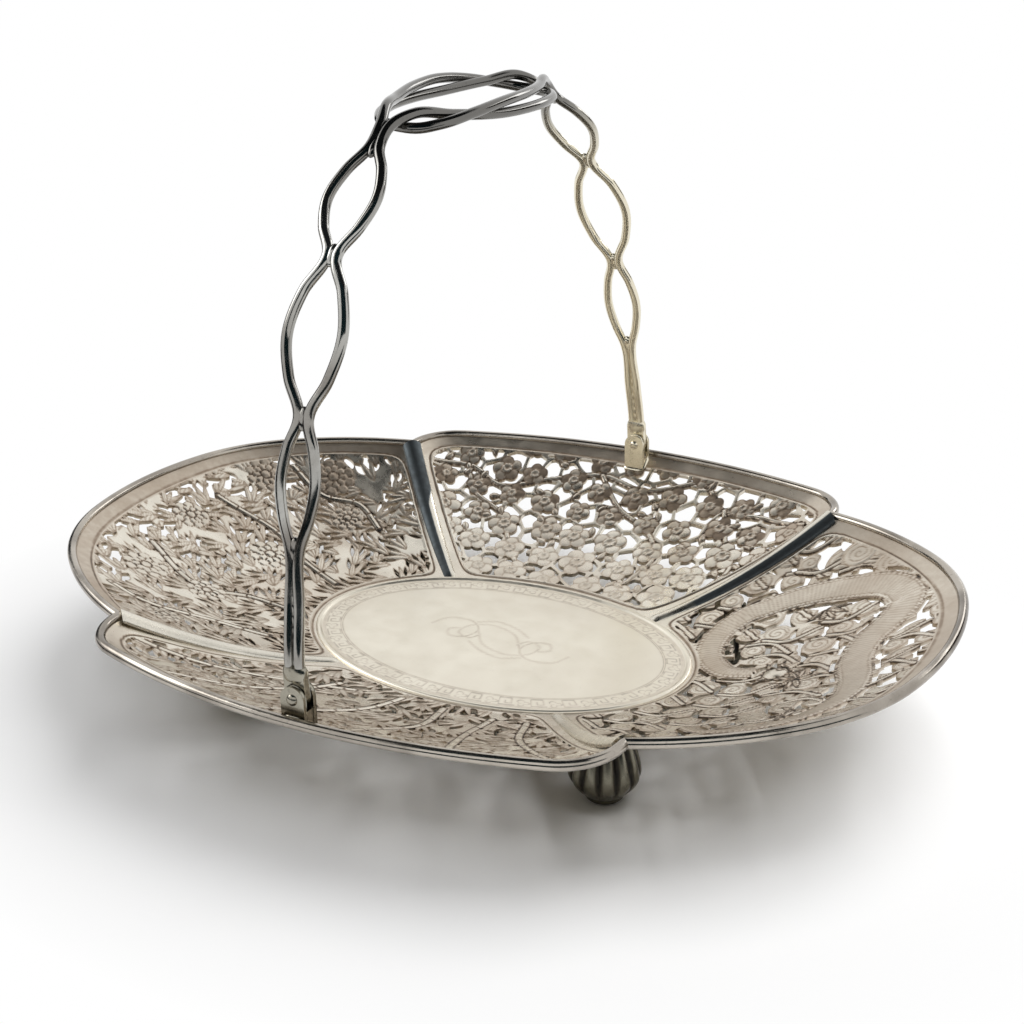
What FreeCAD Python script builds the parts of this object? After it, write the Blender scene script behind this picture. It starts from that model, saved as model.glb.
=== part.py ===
import FreeCAD, Part
import math
import os
import Sketcher
from FreeCAD import Vector

# Silver basket: a pierced four-lobed dish on ribbed bun feet, with a swing handle
# of round wire riveted to the middle of each long side.
# X runs along the dish, Y across it, Z up from the surface that the feet stand on.

SIZES = (
    # plan of the rim, measured at the centre of its wire
    ("rim_length", 279.0),
    ("rim_width", 221.0),
    ("tip_half_angle", 14.0),
    ("shoulder_half_angle", 47.0),
    ("end_lift", 3.2),
    ("rim_wire_diameter", 3.0),
    # dish
    ("panel_height", 15.0),
    ("dish_depth", 26.4),
    ("sheet_thickness", 1.2),
    ("panel_length", 126.0),
    ("panel_width", 84.4),
    ("bead_width", 1.8),
    ("bead_height", 0.6),
    ("border_width", 6.5),
    ("seam_border", 5.0),
    ("seam_roll_width", 2.6),
    ("seam_roll_height", 2.6),
    # piercings
    ("leaf_length", 11.0),
    ("leaf_width", 4.4),
    ("leaf_pitch", 15.0),
    ("cell_width", 6.4),
    ("cell_pitch", 14.5),
    ("crescent_radius", 5.6),
    ("crescent_width", 3.3),
    ("scroll_pitch", 18.0),
    ("petal_length", 7.6),
    ("petal_width", 4.0),
    ("petal_ring_radius", 5.6),
    ("flower_pitch", 30.0),
    # feet
    ("foot_spacing_along", 116.0),
    ("foot_spacing_across", 91.0),
    ("foot_width", 20.5),
    ("foot_base_width", 10.6),
    ("foot_rib_depth", 0.9),
    # hinges
    ("hinge_inset", 4.9),
    ("hinge_above_rim", 5.2),
    ("ear_width", 6.6),
    ("ear_thickness", 1.3),
    ("ear_gap", 2.9),
    ("ear_gap_depth", 3.4),
    ("bracket_drop", 11.0),
    ("pin_diameter", 2.2),
    ("pin_head_diameter", 3.2),
    ("pin_head_height", 0.9),
    ("pin_seat_clearance", 0.02),
    ("pin_running_clearance", 0.05),
    # handle
    ("tongue_thickness", 2.4),
    ("tongue_width", 5.8),
    ("tongue_length", 7.0),
    ("handle_wire_diameter", 2.9),
    ("wire_contact_gap", 0.04),
    ("handle_rise", 135.3),
    ("lower_lens_width", 10.4),
    ("middle_lens_width", 16.4),
    ("upper_lens_width", 14.6),
    ("loop_length", 79.0),
    ("loop_width", 28.4),
    ("loop_tilt_angle", 9.0),
    ("crossing_gap", 0.7),
    ("loop_end_rise", 1.0),
    ("loop_end_drop", 3.1),
    ("handle_lean_angle", 2.5),
    # working allowances
    ("overrun", 2.0),
    ("seat_overlap", 0.5),
    ("longest_chord", 24.0),
    ("wire_step", 7.0),
    ("tool_depth", 24.0),
)

# places on the rim's outline, as shares of half its length and half its width
CUSP_SHARES = (0.5735, 0.742)
LONG_ARC_END_SHARES = (0.4875, 0.9018)
# radii of the end lobes' arcs, as shares of half the rim's width
TIP_RADIUS_SHARE = 1.032
SHOULDER_RADIUS_SHARE = 0.588
# where the seams meet the panel, as a share of half its length
SEAM_FOOT_SHARE = 0.5825
# share of the dish depth that rises evenly; the rest rises with the square of the way out
DISH_EVEN_RISE_SHARE = 0.45
PROFILE_CHORDS = 3
LARGEST_TURN = 15.0
RIM_SIDES = 8
HANDLE_SIDES = 8
RIVET_SIDES = 12
FOOT_RIBS = 12

# height and width of a foot above its base, as shares of the panel's height and the foot's width
FOOT_PROFILE_SHARES = (
    (0.11, 0.62),
    (0.30, 0.92),
    (0.52, 1.0),
    (0.78, 0.90),
    (1.35, 0.66),
)

# soldered joints of a handle arm, as shares of the hinges' reach and of the handle's rise
ARM_JOINT_SHARES = (
    (0.951, 0.280),
    (0.865, 0.512),
    (0.688, 0.783),
    (0.470, 0.953),
)
# where the arm has turned level, in the same shares
ARM_TOP_SHARES = (0.388, 1.004)
# way along an open stretch between two joints, and how far the two wires stand apart there
LENS_SHARES = (
    (0.24, 0.66),
    (0.5, 1.0),
    (0.76, 0.66),
)
# half a loop from its open end to its round end, as shares of its half width and half length
LOOP_SHARES = (
    (0.22, 0.93),
    (0.58, 0.62),
    (0.90, 0.20),
    (1.0, -0.18),
    (0.90, -0.53),
    (0.62, -0.81),
    (0.27, -0.945),
    (0.0, -0.965),
)

# how far up the stem, and up the last bend, the two wires of an arm still touch, as shares of the stretch
STEM_SHARE = 0.5
BEND_SHARE = 0.6
# height and width of a seam roll where it meets the panel, as shares of those at the rim
ROLL_LOW_SHARE = 0.15
ROLL_NARROW_SHARE = 0.5
ROLL_CHORDS = 5

# outlines of the piercings, as shares of their half length and half width
LEAF_SHARES = ((-1.0, 0.0), (-0.1, 1.0), (1.0, 0.0), (-0.1, -1.0))
PETAL_SHARES = ((-1.0, 0.0), (0.4, 1.0), (1.0, 0.0), (0.4, -1.0))
CELL_CORNERS = 5
PETALS = 5
# directions of the leaves in a fan, and of the corners of a crescent and the crescent itself, in degrees
LEAF_ANGLES = (-48, 0, 48)
CRESCENT_OUTER_ANGLES = (-62, 0, 62)
CRESCENT_INNER_ANGLES = (44, 0, -44)
CRESCENT_TURN = 50
# rows of piercings, as shares of the way from the panel to the rim
LEAF_ROW_SHARES = (0.14, 0.32, 0.50, 0.68, 0.85)
CELL_ROW_SHARES = (0.14, 0.32, 0.50, 0.68, 0.85)
SCROLL_ROW_SHARES = (0.2, 0.5, 0.8)
FLOWER_ROW_SHARES = (0.22, 0.52, 0.81)

doc = FreeCAD.newDocument("silver_basket")
sheet = doc.addObject("Spreadsheet::Sheet", "sizes")
for row, (name, value) in enumerate(SIZES, start=1):
    sheet.set("A%d" % row, name)
    sheet.set("B%d" % row, str(value))
    sheet.setAlias("B%d" % row, name)
doc.recompute()


def size(name):
    return float(sheet.get(name))


def half(name):
    return size(name) / 2


UP = Vector(0, 0, 1)
ACROSS = Vector(0, 1, 0)
# a box on three edges flatter than this, against their length, counts as a plane
FLATNESS = 1e-7
# a path steeper than this has its first cross-section squared to Y instead of Z
LEAST_SIDEWAYS = 0.5


def unit(vector):
    return Vector(vector).normalize()


# Solids with flat facets

def facets(corners):
    """One flat face on four corners, or two where they don't lie in a plane."""
    first, second, third, fourth = corners
    lift = abs((second - first).cross(third - first).dot(fourth - first))
    if lift < FLATNESS * (third - first).Length ** 3:
        return [Part.Face(Part.makePolygon(corners + corners[:1]))]
    return [Part.Face(Part.makePolygon([first, second, third, first])),
            Part.Face(Part.makePolygon([first, third, fourth, first]))]


def skinned(outlines):
    """Solid through closed outlines that all have the same number of corners."""
    faces = [Part.Face(Part.makePolygon(outline + outline[:1])) for outline in (outlines[0], outlines[-1])]
    for lower, upper in zip(outlines, outlines[1:]):
        for index in range(len(lower)):
            after = (index + 1) % len(lower)
            faces += facets([lower[index], lower[after], upper[after], upper[index]])
    shell = Part.makeShell(faces)
    shell.sewShape()
    solid = Part.makeSolid(shell)
    if solid.Volume < 0:
        solid.reverse()
    return solid


# Paths

def arc_about(center, radius, start_angle, end_angle):
    """Start, middle and end of a level arc, with its angles in degrees."""
    points = []
    for angle in (start_angle, (start_angle + end_angle) / 2, end_angle):
        turn = math.radians(angle)
        points.append(center + Vector(math.cos(turn), math.sin(turn), 0) * radius)
    return tuple(points)


def arc_to(start, toward_center, end):
    """Arc from start whose centre lies along toward_center, ending at end."""
    way = end - start
    radius = way.Length ** 2 / (2 * way.dot(toward_center))
    center = start + toward_center * radius
    bisector = (start + end) / 2 - center
    return start, center + bisector.normalize() * radius, end


def edge_of(arc):
    return Part.Arc(*arc).toShape()


def wire_of(arcs):
    return Part.Wire([edge_of(arc) for arc in arcs])


def stations(arcs):
    """Shares of a path's length at which its chords meet, closer together where it turns more."""
    edges = [edge_of(arc) for arc in arcs]
    total = sum(edge.Length for edge in edges)
    shares = [0.0]
    done = 0
    for edge in edges:
        turn = math.degrees(edge.Length / edge.Curve.Radius)
        count = int(math.ceil(max(turn / LARGEST_TURN, edge.Length / size("longest_chord"))))
        for index in range(1, count + 1):
            shares.append((done + edge.Length * index / count) / total)
        done += edge.Length
    return shares


def wire_along(points, diameter, sides, first_normal, last_normal):
    """Round wire along a path of short chords, mitred from each to the next."""
    along = unit(points[1] - points[0])
    aside = along.cross(UP)
    if aside.Length < LEAST_SIDEWAYS:
        aside = along.cross(ACROSS)
    aside.normalize()
    other = along.cross(aside)
    outline = []
    for index in range(sides):
        turn = 2 * math.pi * (index + 0.5) / sides
        outline.append(points[0] + (aside * math.cos(turn) + other * math.sin(turn)) * (diameter / 2))
    outlines = []
    for index, point in enumerate(points):
        before = unit(point - points[index - 1]) if index else along
        after = unit(points[index + 1] - point) if index < len(points) - 1 else before
        normal = unit(before + after)
        if index == 0:
            normal = first_normal
        if index == len(points) - 1:
            normal = last_normal
        outline = [p + before * ((point - p).dot(normal) / before.dot(normal)) for p in outline]
        outlines.append(outline)
    return skinned(outlines)


# Rim

def rim_place(shares):
    """A place on the level outline, from its shares of half the rim's length and half its width."""
    along, across = shares
    return Vector(along * half("rim_length"), across * half("rim_width"), 0)


CUSP = rim_place(CUSP_SHARES)
END_SLOPE = math.asin(size("end_lift") / (half("rim_length") - CUSP.x))
RIM_HEIGHT = size("panel_height") + size("dish_depth")


def long_outline():
    """Arcs of the back rim, level, from its left cusp to its right cusp."""
    end = rim_place(LONG_ARC_END_SHARES)
    rise = half("rim_width") - end.y
    radius = (end.x ** 2 + rise ** 2) / (2 * rise)
    center = Vector(0, half("rim_width") - radius, 0)
    main = (Vector(-end.x, end.y, 0), Vector(0, half("rim_width"), 0), end)
    toward = (center - end).normalize()
    corner = arc_to(end, toward, CUSP)
    return [mirrored(corner), main, corner]


def mirrored(arc):
    """The arc on the other side of the dish's short axis, run backwards."""
    return tuple(Vector(-point.x, point.y, point.z) for point in reversed(arc))


def end_outline():
    """Arcs of the right-hand rim, level, from its back cusp to its front cusp."""
    tip_radius = TIP_RADIUS_SHARE * half("rim_width")
    tip_center = Vector(half("rim_length") - tip_radius, 0, 0)
    tip = arc_about(tip_center, tip_radius, size("tip_half_angle"), -size("tip_half_angle"))
    turn = math.radians(size("tip_half_angle"))
    away = Vector(math.cos(turn), math.sin(turn), 0)
    shoulder_radius = SHOULDER_RADIUS_SHARE * half("rim_width")
    shoulder_center = tip[0] - away * shoulder_radius
    shoulder = arc_about(shoulder_center, shoulder_radius,
                         size("shoulder_half_angle"), size("tip_half_angle"))
    toward = (shoulder_center - shoulder[0]).normalize()
    flank = tuple(reversed(arc_to(shoulder[0], toward, CUSP)))
    back = [flank, shoulder]
    front = [tuple(Vector(p.x, -p.y, p.z) for p in reversed(arc)) for arc in reversed(back)]
    return back + [tip] + front


def placed(lobe, point):
    """A point of a level outline, taken to the lobe's own side and height."""
    if lobe in ("lobe_back", "lobe_front"):
        sign = 1 if lobe == "lobe_back" else -1
        return Vector(point.x * sign, point.y * sign, point.z + RIM_HEIGHT)
    sign = 1 if lobe == "lobe_right" else -1
    reach = point.x - CUSP.x
    x = CUSP.x + reach * math.cos(END_SLOPE)
    z = RIM_HEIGHT + point.z + reach * math.sin(END_SLOPE)
    return Vector(x * sign, point.y * sign, z)


def rim_arcs(lobe):
    level = long_outline() if lobe in ("lobe_back", "lobe_front") else end_outline()
    return [tuple(placed(lobe, point) for point in arc) for arc in level]


def panel_angle_range(lobe):
    """Ellipse angles of the panel's edge at the lobe's first and last seam, in degrees."""
    seam = math.degrees(math.acos(SEAM_FOOT_SHARE))
    return {
        "lobe_back": (180 - seam, seam),
        "lobe_right": (seam, -seam),
        "lobe_front": (-seam, seam - 180),
        "lobe_left": (180 + seam, 180 - seam),
    }[lobe]


def panel_point(angle):
    turn = math.radians(angle)
    return Vector(half("panel_length") * math.cos(turn), half("panel_width") * math.sin(turn), 0)


class Lobe:
    """The curved sheet between a stretch of the panel's edge and its rim wire."""

    def __init__(self, name):
        self.name = name
        self.path = wire_of(rim_arcs(name))
        self.stations = stations(rim_arcs(name))
        self.first_angle, self.last_angle = panel_angle_range(name)

    def rim_point(self, along):
        lengths = [edge.Length for edge in self.path.Edges]
        rest = along * sum(lengths)
        for edge, length in zip(self.path.Edges, lengths):
            if rest <= length:
                break
            rest -= length
        else:
            rest = length
        return edge.valueAt(edge.getParameterByLength(min(rest, length)))

    def inner_point(self, along):
        return panel_point(self.first_angle + along * (self.last_angle - self.first_angle))

    def top(self, along, out):
        """Point on the sheet's upper face: along the rim, and out from the panel, both 0 to 1."""
        inner = self.inner_point(along)
        rim = self.rim_point(along)
        rise = rim.z + half("sheet_thickness") - size("panel_height")
        flat = Vector(rim.x, rim.y, 0)
        point = inner + (flat - inner) * out
        even = DISH_EVEN_RISE_SHARE
        return Vector(point.x, point.y, size("panel_height") + rise * (even * out + (1 - even) * out ** 2))

    def section(self, along, above, below):
        """Closed outline in a vertical plane, from just inside the panel's edge to the rim wire."""
        reach = self.top(along, 1) - self.top(along, 0)
        start = -size("seat_overlap") / math.hypot(reach.x, reach.y)
        shares = [start] + [index / PROFILE_CHORDS for index in range(1, PROFILE_CHORDS + 1)]
        upper = [self.top(along, share) + UP * above for share in shares]
        lower = [self.top(along, share) - UP * below for share in reversed(shares)]
        return upper + lower

    def block(self, above, below):
        """Solid that follows the lobe, from above its upper face to below it."""
        return skinned([self.section(share, above, below) for share in self.stations])


def prism(points, low, high):
    """Upright prism on a plan outline."""
    base = [Vector(point.x, point.y, low) for point in points]
    face = Part.Face(Part.makePolygon(base + base[:1]))
    return face.extrude(UP * (high - low))


# Piercings, laid out in the plan of each lobe

def plan_frame(lobe, along, out):
    """Centre and two level directions, along the lobe and outwards, at a place on it."""
    step = 1e-3
    center = lobe.top(along, out)
    sideways = lobe.top(along + step, out) - lobe.top(along - step, out)
    outward = lobe.top(along, out + step) - lobe.top(along, out - step)
    sideways.z = 0
    outward.z = 0
    center.z = 0
    return center, sideways.normalize(), outward.normalize()


def row_places(lobe, out, pitch, shift):
    """Evenly spaced places along a row of the lobe, clear of its seams."""
    middle = lobe.top(0.5, out)
    ends = (lobe.top(0, out), lobe.top(1, out))
    length = sum((Vector(end.x, end.y, 0) - Vector(middle.x, middle.y, 0)).Length for end in ends)
    margin = (size("seam_border") + pitch / 2) / length
    free = length * (1 - 2 * margin)
    count = max(int(round(free / pitch)), 1)
    places = []
    for index in range(count + 1 - shift):
        share = (index + shift / 2) / count
        places.append(margin + share * (1 - 2 * margin))
    return places


def turned_outline(frame, shares, half_length, half_width, angle, offset=0.0):
    """Outline of one piercing at a place, turned by angle from the outward direction."""
    center, sideways, outward = frame
    turn = math.radians(angle)
    long_way = outward * math.cos(turn) + sideways * math.sin(turn)
    cross_way = sideways * math.cos(turn) - outward * math.sin(turn)
    center = center + long_way * offset
    return [center + long_way * (a * half_length) + cross_way * (b * half_width) for a, b in shares]


def free_out(lobe, out):
    """A row's share, kept inside the panel's edge and the plain border at the rim."""
    reach = lobe.top(0.5, 1) - lobe.top(0.5, 0)
    length = math.hypot(reach.x, reach.y)
    low = half("border_width") / length
    high = 1 - size("border_width") / length
    return low + out * (high - low)


def bamboo_leaves(lobe):
    """Slim leaves in fans of three."""
    outlines = []
    for row, share in enumerate(LEAF_ROW_SHARES):
        out = free_out(lobe, share)
        for index, along in enumerate(row_places(lobe, out, size("leaf_pitch"), row % 2)):
            frame = plan_frame(lobe, along, out)
            angle = LEAF_ANGLES[(index + row) % len(LEAF_ANGLES)]
            outlines.append(turned_outline(frame, LEAF_SHARES, half("leaf_length"), half("leaf_width"), angle))
    return outlines


def blossom_cells(lobe):
    """Small five-sided cells between blossoms, in offset rows."""
    outlines = []
    turns = [2 * math.pi * index / CELL_CORNERS for index in range(CELL_CORNERS)]
    corners = [(math.cos(turn), math.sin(turn)) for turn in turns]
    for row, share in enumerate(CELL_ROW_SHARES):
        out = free_out(lobe, share)
        for along in row_places(lobe, out, size("cell_pitch"), row % 2):
            frame = plan_frame(lobe, along, out)
            outlines.append(turned_outline(frame, corners, half("cell_width"), half("cell_width"), 0))
    return outlines


def scroll_crescents(lobe):
    """Two crescents round each cloud scroll."""
    outer = size("crescent_radius") / half("crescent_radius")
    inner = (size("crescent_radius") - size("crescent_width")) / half("crescent_radius")
    outlines = []
    for row, share in enumerate(SCROLL_ROW_SHARES):
        out = free_out(lobe, share)
        for index, along in enumerate(row_places(lobe, out, size("scroll_pitch"), row % 2)):
            frame = plan_frame(lobe, along, out)
            for side in (0, 180):
                shares = []
                for angle in CRESCENT_OUTER_ANGLES:
                    turn = math.radians(angle)
                    shares.append((outer * math.cos(turn), outer * math.sin(turn)))
                for angle in CRESCENT_INNER_ANGLES:
                    turn = math.radians(angle)
                    shares.append((inner * math.cos(turn), inner * math.sin(turn)))
                turn = side + CRESCENT_TURN * (1 if (index + row) % 2 else -1)
                outlines.append(turned_outline(frame, shares, half("crescent_radius"),
                                               half("crescent_radius"), turn))
    return outlines


def flower_petals(lobe):
    """Petal slots round each chrysanthemum."""
    outlines = []
    for row, share in enumerate(FLOWER_ROW_SHARES):
        out = free_out(lobe, share)
        for along in row_places(lobe, out, size("flower_pitch"), row % 2):
            frame = plan_frame(lobe, along, out)
            for index in range(PETALS):
                outlines.append(turned_outline(frame, PETAL_SHARES, half("petal_length"), half("petal_width"),
                                               360 * index / PETALS, size("petal_ring_radius")))
    return outlines


PIERCINGS = {
    "lobe_front": bamboo_leaves,
    "lobe_back": blossom_cells,
    "lobe_right": scroll_crescents,
    "lobe_left": flower_petals,
}

LOBES = {name: Lobe(name) for name in PIERCINGS}


def seam_normal(lobe, at_start):
    """Level direction square to one of the lobe's seams, along the rim."""
    along = 0 if at_start else 1
    way = lobe.rim_point(along) - lobe.inner_point(along)
    return unit(Vector(-way.y, way.x, 0))


# Rim wires

def rim_wire(lobe):
    """Wire round the lobe's edge, mitred against its neighbours at both seams."""
    points = [lobe.rim_point(share) for share in lobe.stations]
    return wire_along(points, size("rim_wire_diameter"), RIM_SIDES,
                      seam_normal(lobe, True), seam_normal(lobe, False))


def seam_roll(lobe, at_start):
    """Raised roll along one seam, highest at the rim and level with the sheet at the panel."""
    along = 0 if at_start else 1
    foot = lobe.top(along, 0)
    rim = lobe.top(along, 1)
    way = Vector(rim.x - foot.x, rim.y - foot.y, 0)
    length = way.Length
    way.normalize()
    inward = lobe.rim_point(0.5) - rim
    inward.z = 0
    aside = way.cross(UP)
    if aside.dot(inward) < 0:
        aside = -aside
    sections = []
    last = 1 - half("rim_wire_diameter") / length
    for chord in range(ROLL_CHORDS + 1):
        share = chord / ROLL_CHORDS
        place = lobe.top(along, share * last)
        height = size("seam_roll_height") * (ROLL_LOW_SHARE + (1 - ROLL_LOW_SHARE) * share)
        width = size("seam_roll_width") * (ROLL_NARROW_SHARE + (1 - ROLL_NARROW_SHARE) * share)
        low = place - UP * half("sheet_thickness")
        corners = [low, place + UP * height, place + aside * (width / 2) + UP * height, low + aside * width]
        sections.append(corners)
    return skinned(sections)


def pierced_sheet(lobe):
    """The lobe's sheet with its piercings, seated against the panel and the rim wire."""
    solid = lobe.block(0, size("sheet_thickness"))
    if lobe.name in ("lobe_front", "lobe_back"):
        for at_start in (True, False):
            solid = solid.fuse(seam_roll(lobe, at_start))
    low = size("panel_height") - size("tool_depth") / 2
    high = RIM_HEIGHT + size("tool_depth")
    holes = [prism(outline, low, high) for outline in PIERCINGS[lobe.name](lobe)]
    tools = holes + [elliptic_prism(), RIM_WIRES[lobe.name]]
    return solid.cut(tools)


def elliptic_prism():
    """The space over and under the panel."""
    ellipse = Part.Ellipse(Vector(0, 0, 0), half("panel_length"), half("panel_width"))
    face = Part.Face(Part.Wire([ellipse.toShape()]))
    return face.extrude(UP * (RIM_HEIGHT + size("tool_depth")))


# Feet

def foot_outline(center, height, radius, rib_depth):
    corners = []
    for index in range(2 * FOOT_RIBS):
        reach = radius * (1 - rib_depth / half("foot_width") * (index % 2))
        turn = math.pi * index / FOOT_RIBS
        corners.append(center + Vector(reach * math.cos(turn), reach * math.sin(turn), height))
    return corners


def foot(along_sign, across_sign):
    """Ribbed bun foot on its round base, trimmed to the underside of the dish."""
    center = Vector(along_sign * half("foot_spacing_along"), across_sign * half("foot_spacing_across"), 0)
    height = size("panel_height")
    sections = [foot_outline(center, share * height, width * half("foot_width"), size("foot_rib_depth"))
                for share, width in FOOT_PROFILE_SHARES]
    base = [foot_outline(center, level, half("foot_base_width"), 0)
            for level in (0, FOOT_PROFILE_SHARES[0][0] * height)]
    solid = skinned(sections).fuse(skinned(base))
    above = []
    for name in ("lobe_right" if along_sign > 0 else "lobe_left",
                 "lobe_back" if across_sign > 0 else "lobe_front"):
        above.append(LOBES[name].block(size("tool_depth"), size("sheet_thickness")))
    return solid.cut(above)


# Handle wires

def tangents(points, first=None):
    """Directions of a smooth curve through the points, by the lengths on each side."""
    found = []
    for index in range(len(points)):
        before = points[index] - points[index - 1] if index else None
        after = points[index + 1] - points[index] if index < len(points) - 1 else None
        if before is None:
            found.append(unit(first) if first else unit(after))
        elif after is None:
            found.append(unit(before))
        else:
            found.append(unit(before / before.Length ** 2 + after / after.Length ** 2))
    return found


def hermite(points, share, ways=None):
    """Point of the smooth curve through the points, share counting spans."""
    ways = ways or tangents(points)
    index = min(int(share), len(points) - 2)
    t = share - index
    start, end = points[index], points[index + 1]
    span = (end - start).Length
    return (start * (2 * t ** 3 - 3 * t ** 2 + 1) + ways[index] * (span * (t ** 3 - 2 * t ** 2 + t))
            + end * (3 * t ** 2 - 2 * t ** 3) + ways[index + 1] * (span * (t ** 3 - t ** 2)))


def chords(points, ways):
    """Corners of a path of short chords along the smooth curve through the points."""
    corners = [points[0]]
    for index in range(len(points) - 1):
        count = max(int(round((points[index + 1] - points[index]).Length / size("wire_step"))), 1)
        for part in range(1, count + 1):
            corners.append(hermite(points, index + part / count, ways))
    return corners


HINGE_HEIGHT = RIM_HEIGHT + size("hinge_above_rim")
HINGE_REACH = half("rim_width") - size("hinge_inset")
KISS = half("handle_wire_diameter") + half("wire_contact_gap")
WEAVE = half("handle_wire_diameter") + half("crossing_gap")


def arm_point(shares):
    """A place in the arm's own plane, with its reach across the dish as Y."""
    across, up = shares
    return Vector(0, across * HINGE_REACH, HINGE_HEIGHT + up * size("handle_rise"))


def arm_spine():
    """Line midway between the two wires of an arm, from its tongue to the level top."""
    start = Vector(0, HINGE_REACH, HINGE_HEIGHT + size("tongue_length"))
    return [start] + [arm_point(shares) for shares in ARM_JOINT_SHARES] + [arm_point(ARM_TOP_SHARES)]


def loop_point(shares, side, own_side):
    """A place on a loop, whose round end passes under the other arm and which crosses the other loop."""
    aside, onward = shares
    slope = math.radians(size("loop_tilt_angle"))
    x = KISS + aside * (half("loop_width") - KISS) if aside else 0
    end_lift = size("loop_end_rise") if onward > 0 else size("loop_end_drop")
    weave = side * own_side * WEAVE * x / half("loop_width") * (1 - onward ** 2)
    lift = end_lift * onward * abs(onward) + weave - side * x * math.sin(slope)
    return Vector(side * x * math.cos(slope), onward * half("loop_length"),
                  HINGE_HEIGHT + size("handle_rise") + lift)


def strand(side, own_side):
    """Points of one wire from its tongue to the round end of its loop, with Y towards its own arm."""
    spine = arm_spine()
    lenses = (size("lower_lens_width"), size("middle_lens_width"), size("upper_lens_width"))
    apart = Vector(side * KISS, 0, 0)
    points = [spine[0] + apart, hermite(spine, STEM_SHARE) + apart]
    for index, width in enumerate(lenses):
        points.append(spine[index + 1] + apart)
        for share, opening in LENS_SHARES:
            aside = KISS + opening * (width / 2 - KISS)
            points.append(hermite(spine, index + 1 + share) + Vector(side * aside, 0, 0))
    joint = len(lenses) + 1
    points.append(spine[joint] + apart)
    points.append(hermite(spine, joint + BEND_SHARE) + apart)
    points += [loop_point(shares, side, own_side) for shares in LOOP_SHARES]
    return points


def handle_wire(own_side):
    """One long wire: up its arm, round its loop and down the same arm again."""
    outward = strand(1, own_side)
    back = strand(-1, own_side)
    points = outward + back[-2::-1]
    points = [Vector(p.x, p.y * own_side, p.z) for p in points]
    ways = tangents(points, first=UP)
    ways[-1] = -UP
    return wire_along(chords(points, ways), size("handle_wire_diameter"), HANDLE_SIDES, UP, UP)


# Document objects

def feature(name, shape):
    piece = doc.addObject("Part::Feature", name)
    piece.Label = name
    piece.Shape = shape
    return piece


def origin_plane(body, role):
    return next(item for item in body.Origin.OriginFeatures if item.Role == role)


def attached_sketch(body, name, role):
    sketch = body.newObject("Sketcher::SketchObject", name)
    sketch.AttachmentSupport = [(origin_plane(body, role), "")]
    sketch.MapMode = "FlatFace"
    return sketch


def panel():
    """Oval centre plate with a raised bead round its edge."""
    solids = []
    for name, inset, low, high in (
            ("panel_plate", "0 mm", "panel_height - sizes.sheet_thickness", "sheet_thickness"),
            ("bead_outer", "0 mm", "panel_height", "bead_height"),
            ("bead_inner", "sizes.bead_width * 1 mm", "panel_height", "bead_height")):
        ellipse = doc.addObject("Part::Ellipse", name + "_outline")
        ellipse.setExpression("MajorRadius", "sizes.panel_length / 2 * 1 mm - " + inset)
        ellipse.setExpression("MinorRadius", "sizes.panel_width / 2 * 1 mm - " + inset)
        ellipse.setExpression("Placement.Base.z", "(sizes.%s) * 1 mm" % low)
        solid = doc.addObject("Part::Extrusion", name)
        solid.Base = ellipse
        solid.DirMode = "Custom"
        solid.Dir = UP
        solid.Solid = True
        solid.setExpression("LengthFwd", "sizes.%s * 1 mm" % high)
        solids.append(solid)
    bead = doc.addObject("Part::Cut", "bead")
    bead.Base = solids[1]
    bead.Tool = solids[2]
    whole = doc.addObject("Part::Fuse", "centre_panel")
    whole.Base = solids[0]
    whole.Tool = bead
    whole.Refine = True
    whole.Label = "centre_panel"
    return whole


def named_constraint(sketch, name, expression, *constraint):
    """Dimension of a sketch, bound to the sheet."""
    index = sketch.addConstraint(Sketcher.Constraint(*constraint))
    sketch.renameConstraint(index, name)
    sketch.setExpression("Constraints." + name, expression)


def rounded_plate(body, name, width, end, pointing_up):
    """Sketch of a plate seen from the front, round about the origin at one end and square at the other."""
    sketch = attached_sketch(body, name, "XZ_Plane")
    reach = end if pointing_up else -end
    first, last = (math.pi, 2 * math.pi) if pointing_up else (0, math.pi)
    sketch.addGeometry(Part.ArcOfCircle(Part.Circle(Vector(0, 0, 0), UP, width), first, last), False)
    corners = [Vector(width, 0, 0), Vector(width, reach, 0), Vector(-width, reach, 0), Vector(-width, 0, 0)]
    for start, stop in zip(corners, corners[1:]):
        sketch.addGeometry(Part.LineSegment(start, stop), False)
    right_end, left_end = (2, 1) if pointing_up else (1, 2)
    for constraint in (
            ("Coincident", 0, 3, -1, 1),
            ("Coincident", 0, right_end, 1, 1),
            ("Coincident", 1, 2, 2, 1),
            ("Coincident", 2, 2, 3, 1),
            ("Coincident", 3, 2, 0, left_end),
            ("PointOnObject", 0, right_end, -1),
            ("PointOnObject", 0, left_end, -1),
            ("Vertical", 1),
            ("Vertical", 3),
            ("Horizontal", 2)):
        sketch.addConstraint(Sketcher.Constraint(*constraint))
    return sketch


def circle_sketch(body, name, radius):
    sketch = attached_sketch(body, name, "XZ_Plane")
    sketch.addGeometry(Part.Circle(Vector(0, 0, 0), UP, radius), False)
    sketch.addConstraint(Sketcher.Constraint("Coincident", 0, 3, -1, 1))
    return sketch


def both_ways(body, kind, name, sketch):
    """Pad or pocket that runs the same way to both sides of its sketch."""
    step = body.newObject("PartDesign::" + kind, name)
    step.Profile = sketch
    step.SideType = "Symmetric"
    return step


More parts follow.
